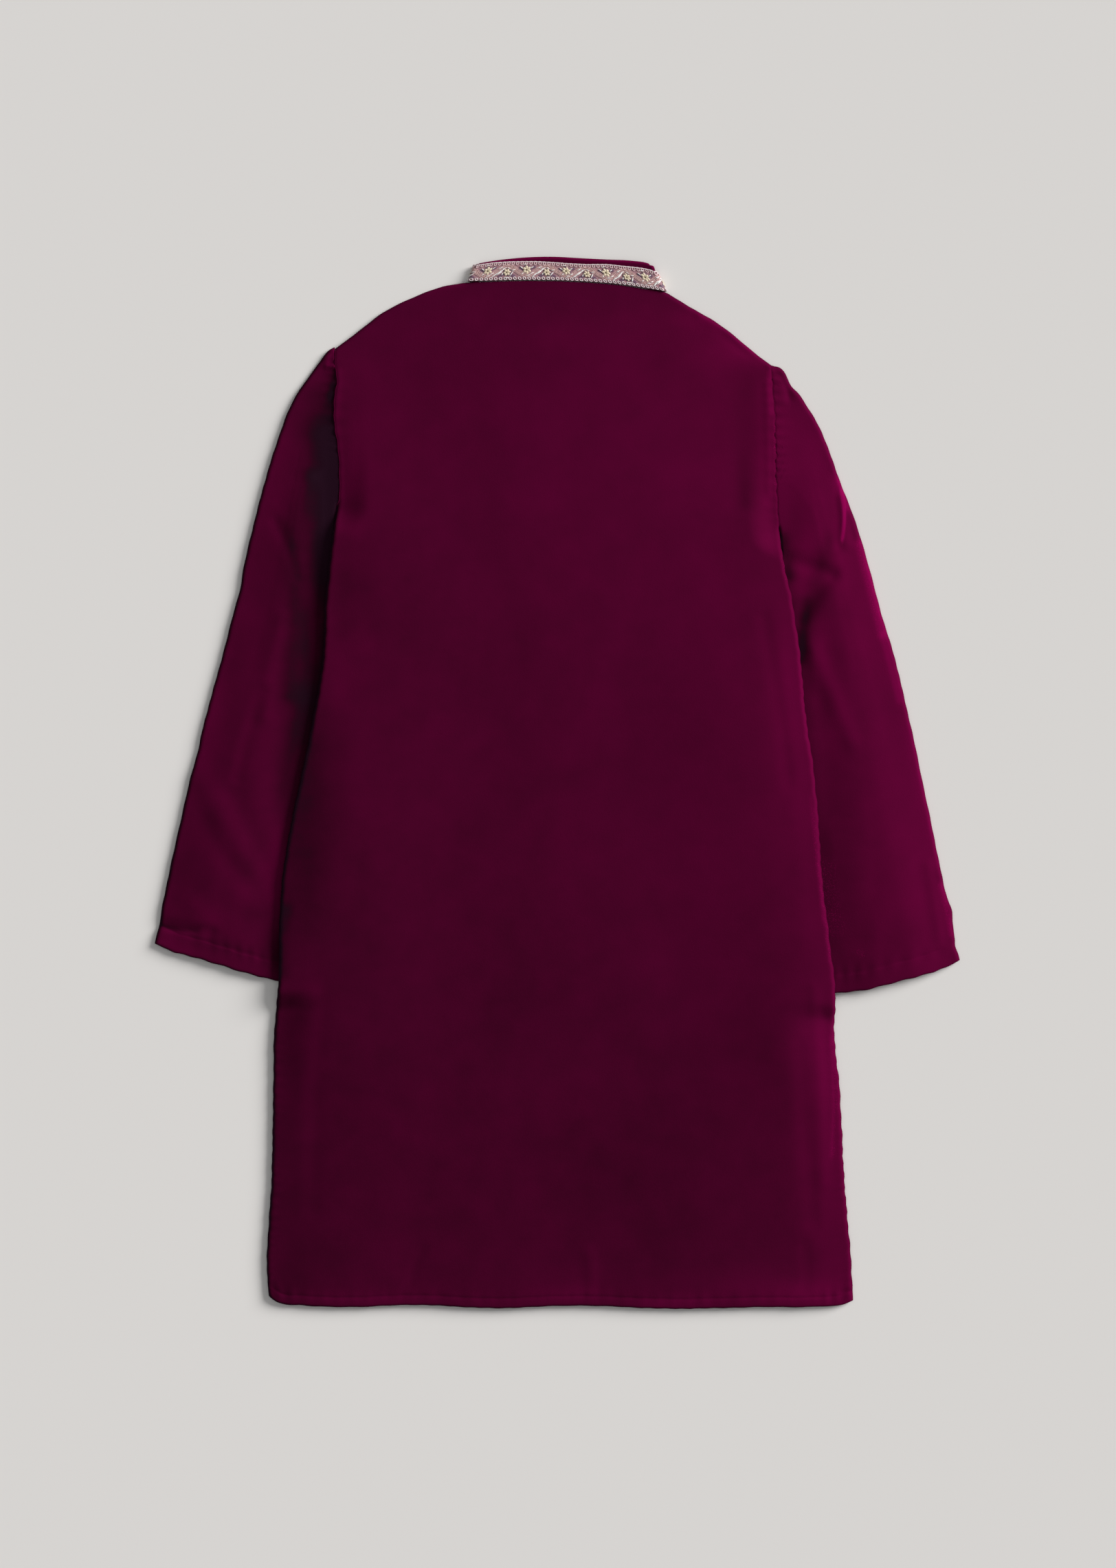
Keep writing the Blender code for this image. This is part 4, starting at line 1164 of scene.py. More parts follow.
def rim_painted_shade(distance):
    """Painted shade where the cloth turns under at a fold."""
    return RIM_PAINTED_SHADE * bell(distance, RIM_REACH)


def seam_dip(distance, depth=0.35, reach=1.5):
    """How far an outer face turns down into a seam."""
    return depth * held(1.0 - distance / reach) ** 2


def body_panel(name, us, neck, offset, drop=None):
    """One of the two large panels, with its hem turned up inside."""
    left, right = body_sides(BODY_V)
    plan = patch(at(HEM_LINE, us), top_edge(us, neck), left, right, us, BODY_V)
    x, y = plan[..., 0], plan[..., 1]
    from_hem = distance_to([HEM_LINE], x, y)
    down = creases_in(name, x, y) + stitched_edge(from_hem, x, HEM_STITCH, HEM_PUCKER)
    down += seam_dip(distance_to(list(ARMHOLE_LINE.values()), x, y))
    down -= gathers_in(name, x, y)
    z = panel_heights(name, x, y)
    z = z - down if name == "back_panel" else np.maximum(z + down, 0.0)
    # Painted light and shade from the tables, a painted highlight over the turned hem, and painted shade
    # where the cloth turns under at the folds
    nap_and_painted_light = nap_and_painted_light_of(name, x, y) + HEM_PAINTED_HIGHLIGHT * smooth((HEM_DEPTH + HEM_PAINTED_HIGHLIGHT_FADE / 2 - from_hem) / HEM_PAINTED_HIGHLIGHT_FADE)
    nap_and_painted_light += rim_painted_shade(distance_to(BODY_FOLDS, x, y))
    lint_and_painted_glint = lint_and_painted_glint_of(name, x, y)
    made = grid_object(name + "_velvet", joined(x, y, z), VELVET_LOOK, nap_and_painted_light, lint_and_painted_glint, drop=drop)
    thick = (from_hem < HEM_DEPTH).reshape(-1)
    thicken(made, HEM_CLOTH, offset, thick, VELVET / HEM_CLOTH)
    settle(made)
    return made


def back_panel():
    """The back, nape to hem."""
    edge = [*FOLD_COLUMNS, *EDGE_COLUMNS]
    neck = [LEFT_NECK - 0.004, LEFT_NECK, LEFT_NECK + 0.006]
    neck += [RIGHT_NECK - 0.006, RIGHT_NECK, RIGHT_NECK + 0.004]
    inner = np.linspace(0.062, 0.938, BODY_COLUMNS)
    inner = [u for u in inner if min(abs(u - value) for value in neck) > 0.0025]
    us = np.array(sorted({*edge, *(1.0 - value for value in edge), *neck, *inner}))
    return body_panel("back_panel", us, back_neck, offset=-1.0)


def front_panel():
    """The front, with a deep neck and the opening at its centre."""
    spread = 1.0 - np.cos(np.radians(np.linspace(0.0, FRONT_NECK_SWEEP, 18)))
    left = LEFT_NECK + (0.5 - LEFT_NECK) * spread
    right = RIGHT_NECK - (RIGHT_NECK - 0.5) * spread
    slit = OPENING_GAP / OPENING_PANEL
    outer = [*FOLD_COLUMNS, *np.linspace(0.02, LEFT_NECK - 0.01, 26)]
    outer_right = [*FOLD_COLUMNS, *np.linspace(0.02, 1.0 - RIGHT_NECK - 0.01, 26)]
    near_slit = [0.5 - slit, 0.5 + slit]
    us = np.array(sorted({*outer, *(1.0 - value for value in outer_right), *left, *right, *near_slit}))
    middle = int(np.argmin(np.abs(us - (0.5 - slit))))
    drop = np.zeros((len(BODY_V) - 1, len(us) - 1), bool)
    open_rows = BODY_V[:-1] > 1.0 - OPENING_LENGTH / (SIDE_LENGTH + ARM_LENGTH)
    drop[open_rows, middle] = True
    return body_panel("front_panel", us, front_neck, offset=1.0, drop=drop)


# Grid lines of a sleeve: along it from the armhole, and across it as fractions of its width
SLEEVE_LENGTH = 450.0
SEAM_ROWS = [0.0, 0.5, 1.1, 1.9, 3.0, 5.0]
CUFF_ROWS = [430, 432.4, 434.4, 435.4, 436, 436.6, 437.6, 439.6, 442.6, 445.6, 447.4, 448.6, 449.4, 450]
EVEN_ROWS = np.arange(SEAM_ROWS[-1] + 2.0, CUFF_ROWS[0] - 1.0, SLEEVE_CELL)
SLEEVE_ROWS = np.array([*SEAM_ROWS, *EVEN_ROWS, *CUFF_ROWS])
SLEEVE_V = np.sort(1.0 - SLEEVE_ROWS / SLEEVE_LENGTH)
ROLL = [0.0, 0.0015, 0.0050, 0.0105, 0.018, 0.027, 0.04]
UPPER_U = mirrored([*ROLL, *np.linspace(0.056, 0.5, 28)])
LOWER_U = mirrored([*ROLL, *np.linspace(0.08, 0.5, 10)])


def sleeve_top(side, x, y, across):
    """Height of a sleeve's upper face away from its folds."""
    near = distance_to([OUTER_LINE[side], INNER_LINE[side]], x, y)
    at_seam = BODY_EDGE_HEIGHT + BODY_SWELL
    height = SLEEVE_EDGE_HEIGHT + (at_seam - SLEEVE_EDGE_HEIGHT) * smooth(near / SWELL_REACH)
    tucked, below = inward(side, x, y), below_arm(side, y)
    swell = smooth(across / SWELL_SHARE) * smooth((-tucked - SWELL_START) / SWELL_RISE)
    cuff = np.array([OUTER_LINE[side][-1], INNER_LINE[side][-1]])
    swell *= 1.0 - CUFF_FLAT[side] * (1.0 - smooth(distance_to([cuff], x, y) / CUFF_FLAT_REACH))
    raised = height + SLEEVE_SWELL * swell * smooth((below + SWELL_FALL) / SWELL_FALL)
    raised -= folds_in("sleeve_" + side, x, y) + creases_in("sleeve_" + side, x, y)
    raised += gathers_in("sleeve_" + side, x, y)
    pressed = smooth((tucked + PRESS_START) / PRESS_REACH) * smooth(below / PRESS_START)
    return raised * (1.0 - pressed) + np.minimum(raised, SLEEVE_EDGE_HEIGHT + PRESS_GAP) * pressed


def sleeve(side):
    """One sleeve, a flattened tube open at the armhole and at the cuff."""
    name = "sleeve_" + side
    out = OUTWARD[side]
    seam = ARMHOLE_LINE[side][::-1] + np.array([out * SEAM_GAP, 0.0])
    beside_seam = 1.0 - smooth(np.linspace(0.0, GAP_FADE, LINE_POINTS))
    outer = OUTER_LINE[side] + np.array([out * SEAM_GAP, 0.0]) * beside_seam[:, None]
    inner = INNER_LINE[side]
    cuff = curve([outer[-1], *CUFF_LINE[side], inner[-1]])
    cuff = wavered(cuff, 0.3, 13.0, 0.6)
    layers, naps_and_painted_light, lint_and_painted_glints, cuffs = [], [], [], []
    for us in (UPPER_U, LOWER_U):
        edges = at(cuff, us), at(seam, us), at(outer, 1.0 - SLEEVE_V), at(inner, 1.0 - SLEEVE_V)
        plan = patch(*edges, us, SLEEVE_V)
        x, y = plan[..., 0], plan[..., 1]
        near = distance_to([outer, inner], x, y)
        from_cuff = distance_to([cuff], x, y)
        top = sleeve_top(side, x, y, us[None, :])
        edge_half = SLEEVE_EDGE_HEIGHT / 2
        if us is UPPER_U:
            z = top - rounded(near, edge_half)
            z -= stitched_edge(from_cuff, x, CUFF_STITCH, CUFF_PUCKER) * smooth(near / STITCH_START)
            z -= seam_dip(distance_to([seam], x, y))
            z = np.where((us[None, :] == 0.0) | (us[None, :] == 1.0), edge_half, z)
            shown = 1.0
        else:
            z = rounded(near, edge_half)
            shown = 1.0 - HIDDEN_PAINTED_LIGHT_CUT * smooth(near / HIDDEN_FADE)
        layers.append(joined(x, y, z))
        # A painted highlight over the cuff's hem, painted light, shade and glints fainter on the hidden
        # lower layer, and painted shade at the folds
        hem_painted_highlight = 0.5 * HEM_PAINTED_HIGHLIGHT * smooth((CUFF_HEM_DEPTH - from_cuff) / HEM_PAINTED_HIGHLIGHT_FADE)
        naps_and_painted_light.append(nap_and_painted_light_of(name, x, y) * shown + hem_painted_highlight + rim_painted_shade(near))
        lint_and_painted_glints.append(lint_and_painted_glint_of(name, x, y) * shown)
        cuffs.append(from_cuff)
    order = slice(None) if side == "left" else slice(None, None, -1)
    around, nap_and_painted_light, lint_and_painted_glint, from_cuff = (
        np.concatenate([upper, lower[:, ::-1][:, 1:]], axis=1)[:, order]
        for upper, lower in (layers, naps_and_painted_light, lint_and_painted_glints, cuffs)
    )
    made = grid_object(name + "_velvet", around, VELVET_LOOK, nap_and_painted_light, lint_and_painted_glint, closed=True)
    thick = (from_cuff[:, :-1] < CUFF_HEM_DEPTH).reshape(-1)
    thicken(made, CUFF_CLOTH, -1.0, thick, VELVET / CUFF_CLOTH)
    settle(made)
    return made


def collar_front(side):
    """Lower and upper edge of one front half of the collar, centre front to side fold."""
    turn = np.radians(np.linspace(90.0 - COLLAR_END_GAP, COLLAR_TURN_END, 40))
    share, dip = np.cos(turn), np.sin(turn)
    seam_end = BACK_NECK[-1].y if side == "right" else BACK_NECK[0].y
    middle = (BACK_NECK[0].y + BACK_NECK[-1].y) / 2
    low_x = NECK_CENTRE[0] + OUTWARD[side] * NECK_HALF_WIDTH * share
    low_y = middle + (seam_end - middle) * share - NECK_DROP * dip + 3 * COLLAR_SEAM_GAP
    high_x = COLLAR_CENTRE[0] + OUTWARD[side] * COLLAR_HALF_WIDTH * share
    high_y = COLLAR_CENTRE[1] - COLLAR_DROP * dip
    return [joined(x, y, COLLAR_LOWER + placket_lift(x, y)) for x, y in ((low_x, low_y), (high_x, high_y))]


def collar_fold(side, low, high):
    """Lower and upper edge of the collar round one side fold, from its lower to its upper layer."""
    turn = np.radians(np.linspace(-90.0, 90.0, 13))
    bulge = OUTWARD[side] * COLLAR_BULGE * (np.cos(turn) - 1.0)
    height = (COLLAR_UPPER + COLLAR_LOWER) / 2 + (COLLAR_UPPER - COLLAR_LOWER) / 2 * np.sin(turn)
    edges = []
    for x, y in (low, high):
        edges.append(joined(x + bulge, np.full(len(turn), y + COLLAR_SEAM_GAP), height))
    return edges


def collar_edges():
    """Lower and upper edge of the whole collar, from the centre front round the left to the right."""
    seam, top = curve(BACK_NECK), curve(COLLAR_TOP)
    shares = np.linspace(0.025, 0.975, 58)
    back = []
    for line in (seam, top):
        plan = at(line, shares) + np.array([0.0, COLLAR_SEAM_GAP])
        back.append(joined(*plan.T, np.full(len(shares), COLLAR_UPPER)))
    left_front, right_front = collar_front("left"), collar_front("right")
    left_fold = collar_fold("left", seam[0], top[0])
    right_fold = collar_fold("right", seam[-1], top[-1])
    runs = zip(left_front, left_fold, back, right_fold, right_front)
    return [np.concatenate([*run[:3], run[3][::-1], run[4][::-1]]) for run in runs]


COLLAR_LOW, COLLAR_HIGH = collar_edges()


def surface(low, high, shares):
    """Points and outward normals of a ruled band."""
    points = np.array([low + (high - low) * share for share in shares])
    normals = np.cross(np.gradient(points, axis=1), np.gradient(points, axis=0))
    return points, normals / np.linalg.norm(normals, axis=-1, keepdims=True)


def collar_band():
    """The low stand collar, folded flat, with soft top and bottom edges."""
    shares = np.array([0.0, 0.02, 0.06, 0.12, 0.3, 0.5, 0.7, 0.84, 0.9, 0.94, 0.97, 0.99, 1.0])
    points, normals = surface(COLLAR_LOW, COLLAR_HIGH, shares)
    tall = np.linalg.norm(COLLAR_HIGH - COLLAR_LOW, axis=1)[None, :]
    to_top = (1.0 - shares[:, None]) * tall
    to_seam = shares[:, None] * tall
    dip = rounded(to_top, COLLAR_RIM, COLLAR_RIM_REACH) + seam_dip(to_seam, COLLAR_SEAM_DIP)
    dip -= COLLAR_RIDGE * bell(to_top - COLLAR_RIDGE_AT, COLLAR_RIDGE_REACH)
    # A painted highlight along the collar's rounded top fold, and the whole collar a little darker
    nap_and_painted_light = COLLAR_RIM_PAINTED_HIGHLIGHT * bell(to_top - COLLAR_RIM_PAINTED_HIGHLIGHT_AT, COLLAR_RIM_REACH) + COLLAR_LIGHT_SHIFT
    points = points - normals * dip[..., None]
    made = grid_object("collar_velvet", points, VELVET_LOOK, nap_and_painted_light * np.ones(points.shape[:2]))
    thicken(made, COLLAR_CLOTH, -1.0)
    return made


# The lace: its ribbon, then its ornaments in their own plan of along, across and out
LACE_SHARES = np.linspace(0.0, 1.0, 9)
TALL = np.linalg.norm(COLLAR_HIGH - COLLAR_LOW, axis=1)[:, None]
LACE_LOW = COLLAR_LOW + (COLLAR_HIGH - COLLAR_LOW) / TALL * TRIM_SET_IN
LACE_REACH = np.minimum(TRIM_SET_IN + TRIM_WIDTH, TALL - BAND_MARGIN)
ON_TOP = COLLAR_LOW[:, 2:] > COLLAR_UPPER - 1.0
TRIM_RISES = [
    (-66.0, 0.0), (-50.0, -0.8), (-35.0, -0.5), (-14.5, -0.5), (6.5, -1.3),
    (20.0, -1.0), (35.5, 0.8), (45.0, 1.1), (60.0, 2.3), (72.0, 2.0),
]
TRIM_RISE = np.interp(COLLAR_HIGH[:, :1], *np.transpose(TRIM_RISES))
LACE_REACH = np.minimum(LACE_REACH + np.where(ON_TOP, TRIM_RISE, 0.0), TALL - BAND_MARGIN)
LACE_HIGH = COLLAR_LOW + (COLLAR_HIGH - COLLAR_LOW) / TALL * LACE_REACH
LACE_POINTS, LACE_NORMALS = surface(LACE_LOW, LACE_HIGH, LACE_SHARES)
LACE_MIDDLE = LACE_POINTS[4]
LACE_ALONG = np.concatenate([[0.0], np.cumsum(np.linalg.norm(np.diff(LACE_MIDDLE, axis=0), axis=1))])
PRESSED_LACE = 0.65
FLOWER_PITCH = 28.9
FLOWER_START = 7.0
ON_BACK = LACE_MIDDLE[:, 2] > COLLAR_UPPER - 0.01
LACE_ALONG -= np.interp(FLOWER_START, LACE_MIDDLE[ON_BACK, 0], LACE_ALONG[ON_BACK])


def on_lace(spots):
    """Points in space from spots on the lace: along it, up from its middle, and out from its face."""
    spots = np.asarray(spots, float)
    along = np.clip(spots[:, 0], LACE_ALONG[0] + 0.5, LACE_ALONG[-1] - 0.5)
    low, high, normal = (
        joined(*(np.interp(along, LACE_ALONG, values) for values in line.T))
        for line in (LACE_LOW, LACE_HIGH, LACE_NORMALS[4])
    )
    normal /= np.linalg.norm(normal, axis=-1, keepdims=True)
    share = 0.5 + spots[:, 1:2] / TRIM_WIDTH
    flat = 1.0 - PRESSED_LACE * held(-normal[:, 2:3])
    return low + (high - low) * share + normal * (TRIM_GAP + TRIM_CLOTH + flat * spots[:, 2:3])


def lace_ribbon(material):
    """The woven ground of the lace."""
    made = grid_object("lace_ribbon", LACE_POINTS + LACE_NORMALS * TRIM_GAP, material)
    thicken(made, TRIM_CLOTH, 1.0)
    return made


def turns(sides):
    """Angles of a ring's points."""
    return np.linspace(0.0, 2 * np.pi, sides, endpoint=False)


def between_rings(rows, sides):
    """Quads between rings of points, and the caps of the first and the last ring."""
    faces = [
        (low + k, low + (k + 1) % sides, low + sides + (k + 1) % sides, low + sides + k)
        for low in range(0, (rows - 1) * sides, sides)
        for k in range(sides)
    ]
    return faces, [tuple(range(sides))[::-1], tuple(range((rows - 1) * sides, rows * sides))]


def tube(path, radius, sides=5):
    """A closed thread along a path on the lace: its points and faces. The radius may vary along it."""
    path = np.asarray(path, float)
    radius = np.broadcast_to(radius, len(path))
    run = np.gradient(path, axis=0)
    run /= np.linalg.norm(run, axis=1, keepdims=True)
    across = joined(-run[:, 1], run[:, 0], np.zeros(len(path)))
    across /= np.linalg.norm(across, axis=1, keepdims=True)
    over = np.cross(run, across)
    turn = turns(sides)
    rings = path[:, None] + radius[:, None, None] * (
        np.cos(turn)[None, :, None] * across[:, None] + np.sin(turn)[None, :, None] * over[:, None]
    )
    faces, caps = between_rings(len(path), sides)
    return rings.reshape(-1, 3), faces + caps


# Rings of a mound: how wide and how high, as shares
DOME_RINGS = [(1.0, 0.0), (0.86, 0.55), (0.5, 0.9)]


def dome(middle, reach_x, reach_y, height, turn=0.0, sides=10, point=0.0, lift=0.0):
    """A low rounded mound on the lace, pointed along its first axis where asked."""
    angle = turns(sides)
    outline_x = np.cos(angle) * (1.0 + point * np.cos(angle) ** 4)
    outline_y = np.sin(angle) * (1.0 - 0.45 * point * np.cos(angle) ** 2)
    spots = []
    for share, rise in DOME_RINGS:
        x, y = outline_x * reach_x * share, outline_y * reach_y * share
        spot_x = middle[0] + x * np.cos(turn) - y * np.sin(turn)
        spot_y = middle[1] + x * np.sin(turn) + y * np.cos(turn)
        spots.extend(joined(spot_x, spot_y, np.full(sides, lift + height * rise)))
    spots.append(np.array([middle[0], middle[1], lift + height]))
    faces, caps = between_rings(len(DOME_RINGS), sides)
    top = len(spots) - 1
    faces.extend((top - sides + k, top - sides + (k + 1) % sides, top) for k in range(sides))
    return np.array(spots), [*faces, caps[0]]


def gathered(forms, name, material):
    """One mesh of many small closed forms on the lace, laid on the collar."""
    spots, faces, count = [], [], 0
    for some, around in forms:
        faces.extend(tuple(k + count for k in face) for face in around)
        spots.append(some)
        count += len(some)
    return mesh_object(name, on_lace(np.concatenate(spots)), faces, material)


DRAW = np.random.default_rng(11)

# The vine: how far it swings, how far out its threads lie, and each thread's place across it and radius
VINE_RISE = 3.3
VINE_OUT = 0.22
VINE_LINES = [(-1.6, 0.17), (-0.8, 0.24), (0.0, 0.2), (0.8, 0.24), (1.6, 0.17)]
VINE_STEP = 0.9
VINE_SWELL = 0.2
VINE_TURN = 2.3

# The borders: rings of thread along both edges, and one long thread above the upper rings
LOOP_PITCH = 3.35
LOOP_AT = 5.75
LOOP_REACH = (0.98, 1.05)
LOOP_LEAN = 0.25
LOOP_THREAD = 0.31
LOOP_OUT = 0.28
LOOP_TILT = 0.1
EDGING_SHIFT = 0.4
EDGING_DROP = 0.25
BORDER_THREAD = 0.3
BORDER_AT = 0.95
BORDER_WAVE = 0.12
BORDER_STEP = 0.8

# How far from the lace's ends its threads, flowers and darker patches stop
LACE_END = 2.0
FLOWER_END = 4.0
PATCH_END = 3.0

# Flowers, leaves and patches. A petal's three sizes are half its length, half its width and its height.
PETAL_COUNT = 6
PETAL_AT = 1.7
PETAL = (1.25, 0.95, 0.62)
HEART_HEIGHT = 0.66
FLOWER_OUT = 0.12
EYE_SIZE = 0.66
EYE_HEIGHT = 0.3
LEAF_OUT = 0.3
LEAF_HEIGHT = 0.5
LEAF_POINT = 0.45
PATCH_HEIGHT = 0.12
PATCH_OUT = 0.02

# The large and the small flower: how high on the lace, and how large
FLOWERS = [(0.7, 1.14), (-1.1, 0.98)]

# Leaves round a large and a small flower: where from its middle, half length, half width, and turn
LARGE_LEAVES = table(
    "along up long wide turn",
    (5.4, -4, 2.1, 0.5, 0.62),
    (9.1, -1.3, 2.9, 0.58, 0.58),
    (8.3, -2.5, 1.9, 0.42, 0.62),
    (3.4, -2.6, 1.2, 0.42, 0.5),
    (-3.9, 1.6, 1.2, 0.42, 2.5),
    (3.8, 1.7, 1.1, 0.42, 0.6),
    (-3, -2.9, 0.9, 0.4, 0.7),
    (0.6, -4.1, 1.3, 0.4, 0.1),
    (-1.2, 4.3, 1.3, 0.36, 0.15),
)
SMALL_LEAVES = table(
    "along up long wide turn",
    (3.4, -1.3, 1.8, 0.46, 0.95),
    (-2.6, 2.9, 1.5, 0.42, 0.35),
    (1.2, 3.2, 1, 0.38, -0.4),
    (4.4, 1.7, 1.2, 0.38, 0.2),
    (-3.3, -1.3, 0.8, 0.42, 1.1),
    (0.4, -3.9, 1.2, 0.4, 0.1),
    (-5.2, 3.4, 1.6, 0.4, 0.5),
)

# Darker patches of the ground, from the middle of each large flower
PATCHES_AT = table(
    "along up long wide turn",
    (0, 0.7, 3.7, 3.5, 0),
    (14.45, -1.1, 3.2, 3.1, 0),
    (9.9, -3.7, 2.3, 1.1, 0.3),
    (18.6, -3.7, 2.1, 1.2, -0.2),
    (4.9, 2.6, 1.7, 1.1, 0.4),
    (23.9, 0.9, 1.5, 2, -0.5),
)


def vine_at(along):
    """Height of the vine's middle on the lace: low under a large flower, high over a small one."""
    return -VINE_RISE * np.cos(2 * np.pi * along / FLOWER_PITCH)


def about(value, reach):
    """A value moved up or down a little at random."""
    return value + DRAW.uniform(-reach, reach)


def flower(petals, eyes, along, up, size):
    """A rosette of petals round a dark eye."""
    apart = 2 * np.pi / PETAL_COUNT
    start = DRAW.uniform(0.0, apart)
    for k in range(PETAL_COUNT):
        angle = start + k * apart
        reach = PETAL_AT * size * DRAW.uniform(0.95, 1.05)
        middle = (along + reach * np.cos(angle), up + reach * np.sin(angle))
        petals.append(dome(middle, PETAL[0] * size, PETAL[1] * size, PETAL[2], angle, 9, lift=FLOWER_OUT))
    petals.append(dome((along, up), size, size, HEART_HEIGHT, sides=9, lift=FLOWER_OUT))
    eyes.append(dome((along, up), EYE_SIZE * size, EYE_SIZE * size, EYE_HEIGHT, sides=8, lift=PETAL[2]))


def loop(heap, along, up, lean):
    """One upright ring of thread in a border."""
    turn = np.linspace(0.0, 2 * np.pi, 11)
    across = along + LOOP_REACH[0] * np.cos(turn) + lean * np.sin(turn)
    ring = joined(across, up + LOOP_REACH[1] * np.sin(turn), LOOP_OUT + LOOP_TILT * np.cos(2 * turn))
    heap.append(tube(ring, LOOP_THREAD))


def lace_pattern():
    """Flowers, vine, leaves, ground patches and borders, repeated along the whole lace."""
    loops, edging, petals, eyes, vine, leaves, patches = ([] for _ in LACE_LOOKS)
    start, end = LACE_ALONG[0] + LACE_END, LACE_ALONG[-1] - LACE_END
    for along in np.arange(start, end, LOOP_PITCH):
        loop(loops, along, -LOOP_AT, -LOOP_LEAN)
        loop(edging, along + EDGING_SHIFT * LOOP_PITCH, LOOP_AT - EDGING_DROP, LOOP_LEAN)
    along = np.arange(start, end, BORDER_STEP)
    up = LOOP_AT + BORDER_AT + BORDER_WAVE * np.sin(2 * np.pi * along / LOOP_PITCH)
    loops.append(tube(joined(along, up, 0.0 * along + BORDER_THREAD), BORDER_THREAD))
    for side, radius in VINE_LINES:
        along = np.arange(start, end, VINE_STEP)
        slope = np.gradient(vine_at(along), along)
        length = np.sqrt(1.0 + slope**2)
        up = vine_at(along) + side / length
        path = joined(along - side * slope / length, up, np.full(len(along), VINE_OUT))
        vine.append(tube(path, radius * (1.0 + VINE_SWELL * np.sin(along * VINE_TURN))))
    first = int(np.ceil((start + FLOWER_END) / FLOWER_PITCH * 2))
    last = int(np.floor((end - FLOWER_END) / FLOWER_PITCH * 2))
    for k in range(first, last + 1):
        along = about(k * FLOWER_PITCH / 2, 0.25)
        up, size = FLOWERS[k % 2]
        flower(petals, eyes, along, up, size)
        for row in (LARGE_LEAVES, SMALL_LEAVES)[k % 2]:
            middle = (about(along + row.along, 0.2), about(up + row.up, 0.15))
            if start + LACE_END < middle[0] < end - LACE_END:
                turn = about(row.turn, 0.1)
                leaf = dome(middle, row.long, row.wide, LEAF_HEIGHT, turn, 9, LEAF_POINT, LEAF_OUT)
                leaves.append(leaf)
    for along in np.arange(np.floor(start / FLOWER_PITCH) * FLOWER_PITCH, end, FLOWER_PITCH):
        for row in PATCHES_AT:
            spot = along + row.along
            if start + PATCH_END < spot < end - PATCH_END:
                middle = (spot, row.up)
                area = dome(middle, row.long, row.wide, PATCH_HEIGHT, row.turn, 12, lift=PATCH_OUT)
                patches.append(area)
    return loops, edging, petals, eyes, vine, leaves, patches


def placket():
    """The band over the front opening, on the outside of the front panel."""
    top = NECK_CENTRE[1] - NECK_DROP - PLACKET_DROP
    ys = np.linspace(top - PLACKET_LENGTH, top, 75)
    shares = mirrored(PLACKET_COLUMNS) - 0.5
    x = placket_middle(ys)[:, None] + shares[None, :] * PLACKET_WIDTH
    y = np.repeat(ys[:, None], len(shares), axis=1)
    edge = (0.5 - np.abs(shares))[None, :] * PLACKET_WIDTH
    groove = PLACKET_GROOVE * bell(edge - PLACKET_STITCH, PLACKET_GROOVE_REACH)
    rim = PLACKET_RIM * held(1.0 - edge / PLACKET_RIM_REACH)
    z = placket_lift(x, y) - EDGE_GAP - PLACKET_CLOTH + (groove + rim)
    made = grid_object("placket_velvet", joined(x, y, z), VELVET_LOOK, np.zeros(x.shape))
    thicken(made, PLACKET_CLOTH * PLACKET_THIN, 1.0)
    return made


def turned(name, profile, middle, material, sides=36):
    """A form turned about an upright axis."""
    angle = turns(sides)
    spots = [
        (middle[0] + radius * np.cos(a), middle[1] + radius * np.sin(a), height)
        for radius, height in profile
        for a in angle
    ]
    faces, caps = between_rings(len(profile), sides)
    faces = [(face[0], *face[:0:-1]) for face in faces] + [cap[::-1] for cap in caps]
    made = mesh_object(name, spots, faces, material)
    made.data.set_sharp_from_angle(angle=np.radians(40.0))
    return made


BUTTON_PROFILE = [
    (2.9, 0.55), (3.4, 0.35), (3.9, 0.08), (4.4, 0.02), (4.8, 0.2),
    (5.0, 0.7), (4.95, 1.3), (4.6, 1.66), (4.0, 1.7),
]
HOLE_PROFILE = [(0.5, 0.5), (0.55, 0.58)]
HOLE_AT = 0.95
SQUARE = [(-1, -1), (1, -1), (1, 1), (-1, 1)]

# The two crossed threads of a button: how high at the holes and in the middle, and how thick
THREAD_ENDS = 0.52
THREAD_MIDDLES = (0.26, 0.4)
THREAD_RADIUS = 0.16


def button(number, plastic, dark, thread):
    """A small round button with a rim and four sewn holes, its face down."""
    y = NECK_CENTRE[1] - NECK_DROP - BUTTON_FIRST - (number - 1) * BUTTON_PITCH
    middle = (placket_middle(y), y)
    body = turned(f"button_{number}_disc", BUTTON_PROFILE, middle, plastic)
    pieces = [body]
    holes = [(middle[0] + HOLE_AT * x, middle[1] + HOLE_AT * y) for x, y in SQUARE]
    # Dark discs stand in for the holes: painted shade inside them
    for k, spot in enumerate(holes):
        pieces.append(turned(f"button_{number}_hole_{k + 1}", HOLE_PROFILE, spot, dark, sides=12))
    for k, height in enumerate(THREAD_MIDDLES):
        path = [(*holes[k], THREAD_ENDS), (*middle, height), (*holes[k + 2], THREAD_ENDS)]
        spots, faces = tube(path, THREAD_RADIUS, sides=6)
        pieces.append(mesh_object(f"button_{number}_thread_{k + 1}", spots, faces, thread))
    return pieces


BACK = back_panel()
FRONT = front_panel()
SLEEVES = {side: sleeve(side) for side in OUTWARD}
COLLAR = collar_band()
RIBBON = lace_ribbon(thread_material("lace_ground", LACE_GROUND, 0.5, 0.5))
LACE_PIECES = [
    gathered(forms, look.piece, thread_material(*look[1:]))
    for forms, look in zip(lace_pattern(), LACE_LOOKS)
]
PLACKET = placket()

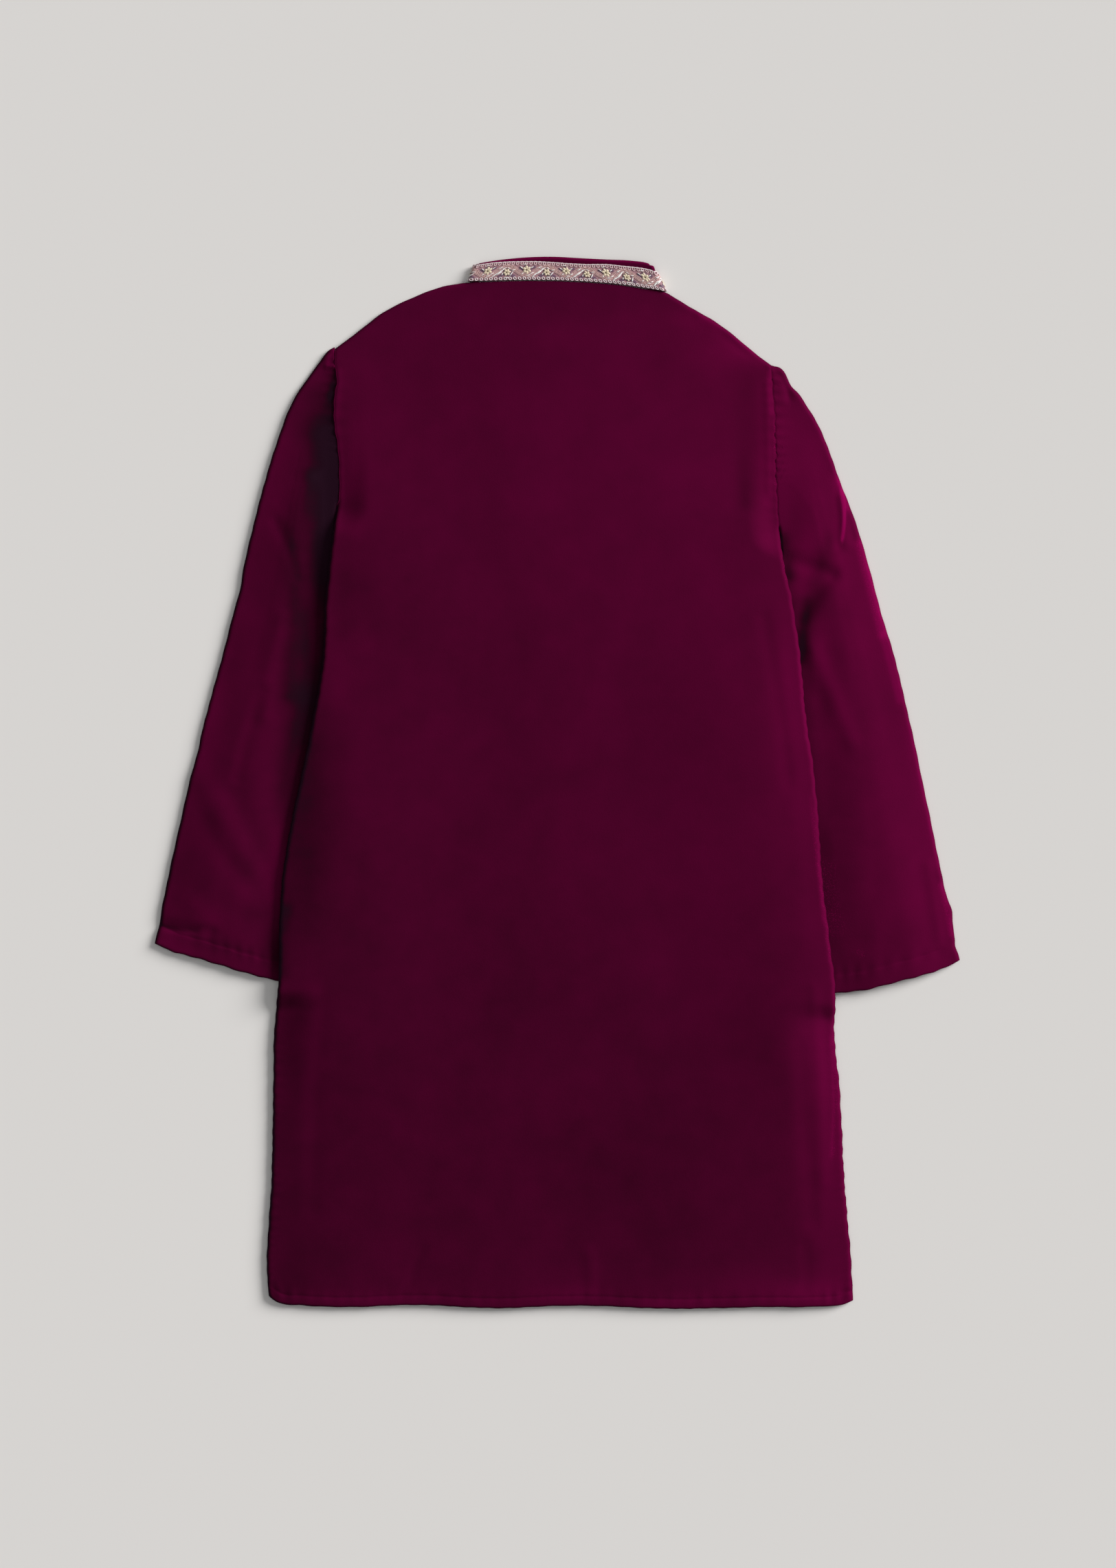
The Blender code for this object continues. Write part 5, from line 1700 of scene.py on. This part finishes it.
for piece, nodes, slot in (
    (BACK, ["back_panel"], "velvet"),
    (FRONT, ["front_panel"], "velvet"),
    (SLEEVES["left"], ["sleeve_left"], "velvet"),
    (SLEEVES["right"], ["sleeve_right"], "velvet"),
    (COLLAR, ["collar_band"], "velvet"),
    (RIBBON, ["collar_trim"], "lace"),
    (PLACKET, ["placket"], "velvet"),
    *((piece, [], "lace") for piece in LACE_PIECES),
):
    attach(piece, "root")
    if nodes:
        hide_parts(*nodes)

PLASTIC = thread_material("plum_plastic", HORN, 0.3, 0.15, 120.0)
# The holes' near-black colour is painted shade
PAINTED_HOLE_SHADE = thread_material("button_hole_painted_shade", (0.01, 0.004, 0.006))
THREAD = thread_material("plum_thread", (0.12, 0.01, 0.04))
for number in range(1, BUTTON_COUNT + 1):
    pieces = button(number, PLASTIC, PAINTED_HOLE_SHADE, THREAD)
    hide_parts(f"button_{number}")
    for piece in pieces:
        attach(piece, "root")

# The pale ground
FLOOR_REACH = 3000.0
FLOOR_DROP = 0.05
FLOOR_CORNERS = [(x * FLOOR_REACH, y * FLOOR_REACH, -FLOOR_DROP) for x, y in SQUARE]
FLOOR = mesh_object("floor", FLOOR_CORNERS, [(0, 1, 2, 3)], floor_material())

# Light from the right and a little up, and an even fill
SUN_TURN = np.radians(30.0)
SUN_RISE = np.radians(27.0)
SUN_SPREAD = np.radians(31.0)
SUN_STRENGTH = 3.87
SUN_COLOUR = (1.0, 0.985, 0.97)
lamp = bpy.data.lights.new("key", "SUN")
lamp.energy = SUN_STRENGTH
lamp.angle = SUN_SPREAD
lamp.color = SUN_COLOUR
key = placed("key", lamp)
towards = Vector((
    np.cos(SUN_RISE) * np.cos(SUN_TURN),
    np.cos(SUN_RISE) * np.sin(SUN_TURN),
    np.sin(SUN_RISE),
))
key.rotation_euler = towards.to_track_quat("Z", "Y").to_euler()

# The fill's colour, its strength all round, how much stronger it is from above, and how fast that falls off
FILL_COLOUR = (0.99, 0.995, 1.0)
FILL = 0.06
FILL_ABOVE = 1.02
FILL_POWER = 6.0
world = bpy.data.worlds.new("fill")
world.use_nodes = True
sky = world.node_tree
sky.nodes["Background"].inputs["Color"].default_value = (*FILL_COLOUR, 1.0)
direction = node(sky, "ShaderNodeSeparateXYZ")
sky.links.new(node(sky, "ShaderNodeTexCoord").outputs["Generated"], direction.inputs["Vector"])
above = maths(sky, "MAXIMUM", direction.outputs["Z"], 0.0)
strength = scaled(sky, maths(sky, "POWER", above, FILL_POWER), FILL_ABOVE, FILL)
sky.links.new(strength, sky.nodes["Background"].inputs["Strength"])
bpy.context.scene.world = world
bpy.context.scene.view_settings.view_transform = "Standard"

# The camera looks straight down, as in the photo
CAMERA_HEIGHT = 3.6
CAMERA_AT = (0.0006, -0.0007)
PHOTO_TALL = 1.1425
SENSOR = 36.0
lens = bpy.data.cameras.new("camera")
lens.sensor_fit = "VERTICAL"
lens.sensor_height = SENSOR
lens.lens = SENSOR * CAMERA_HEIGHT / PHOTO_TALL
camera = placed("camera", lens)
camera.location = (*CAMERA_AT, CAMERA_HEIGHT)
bpy.context.scene.camera = camera
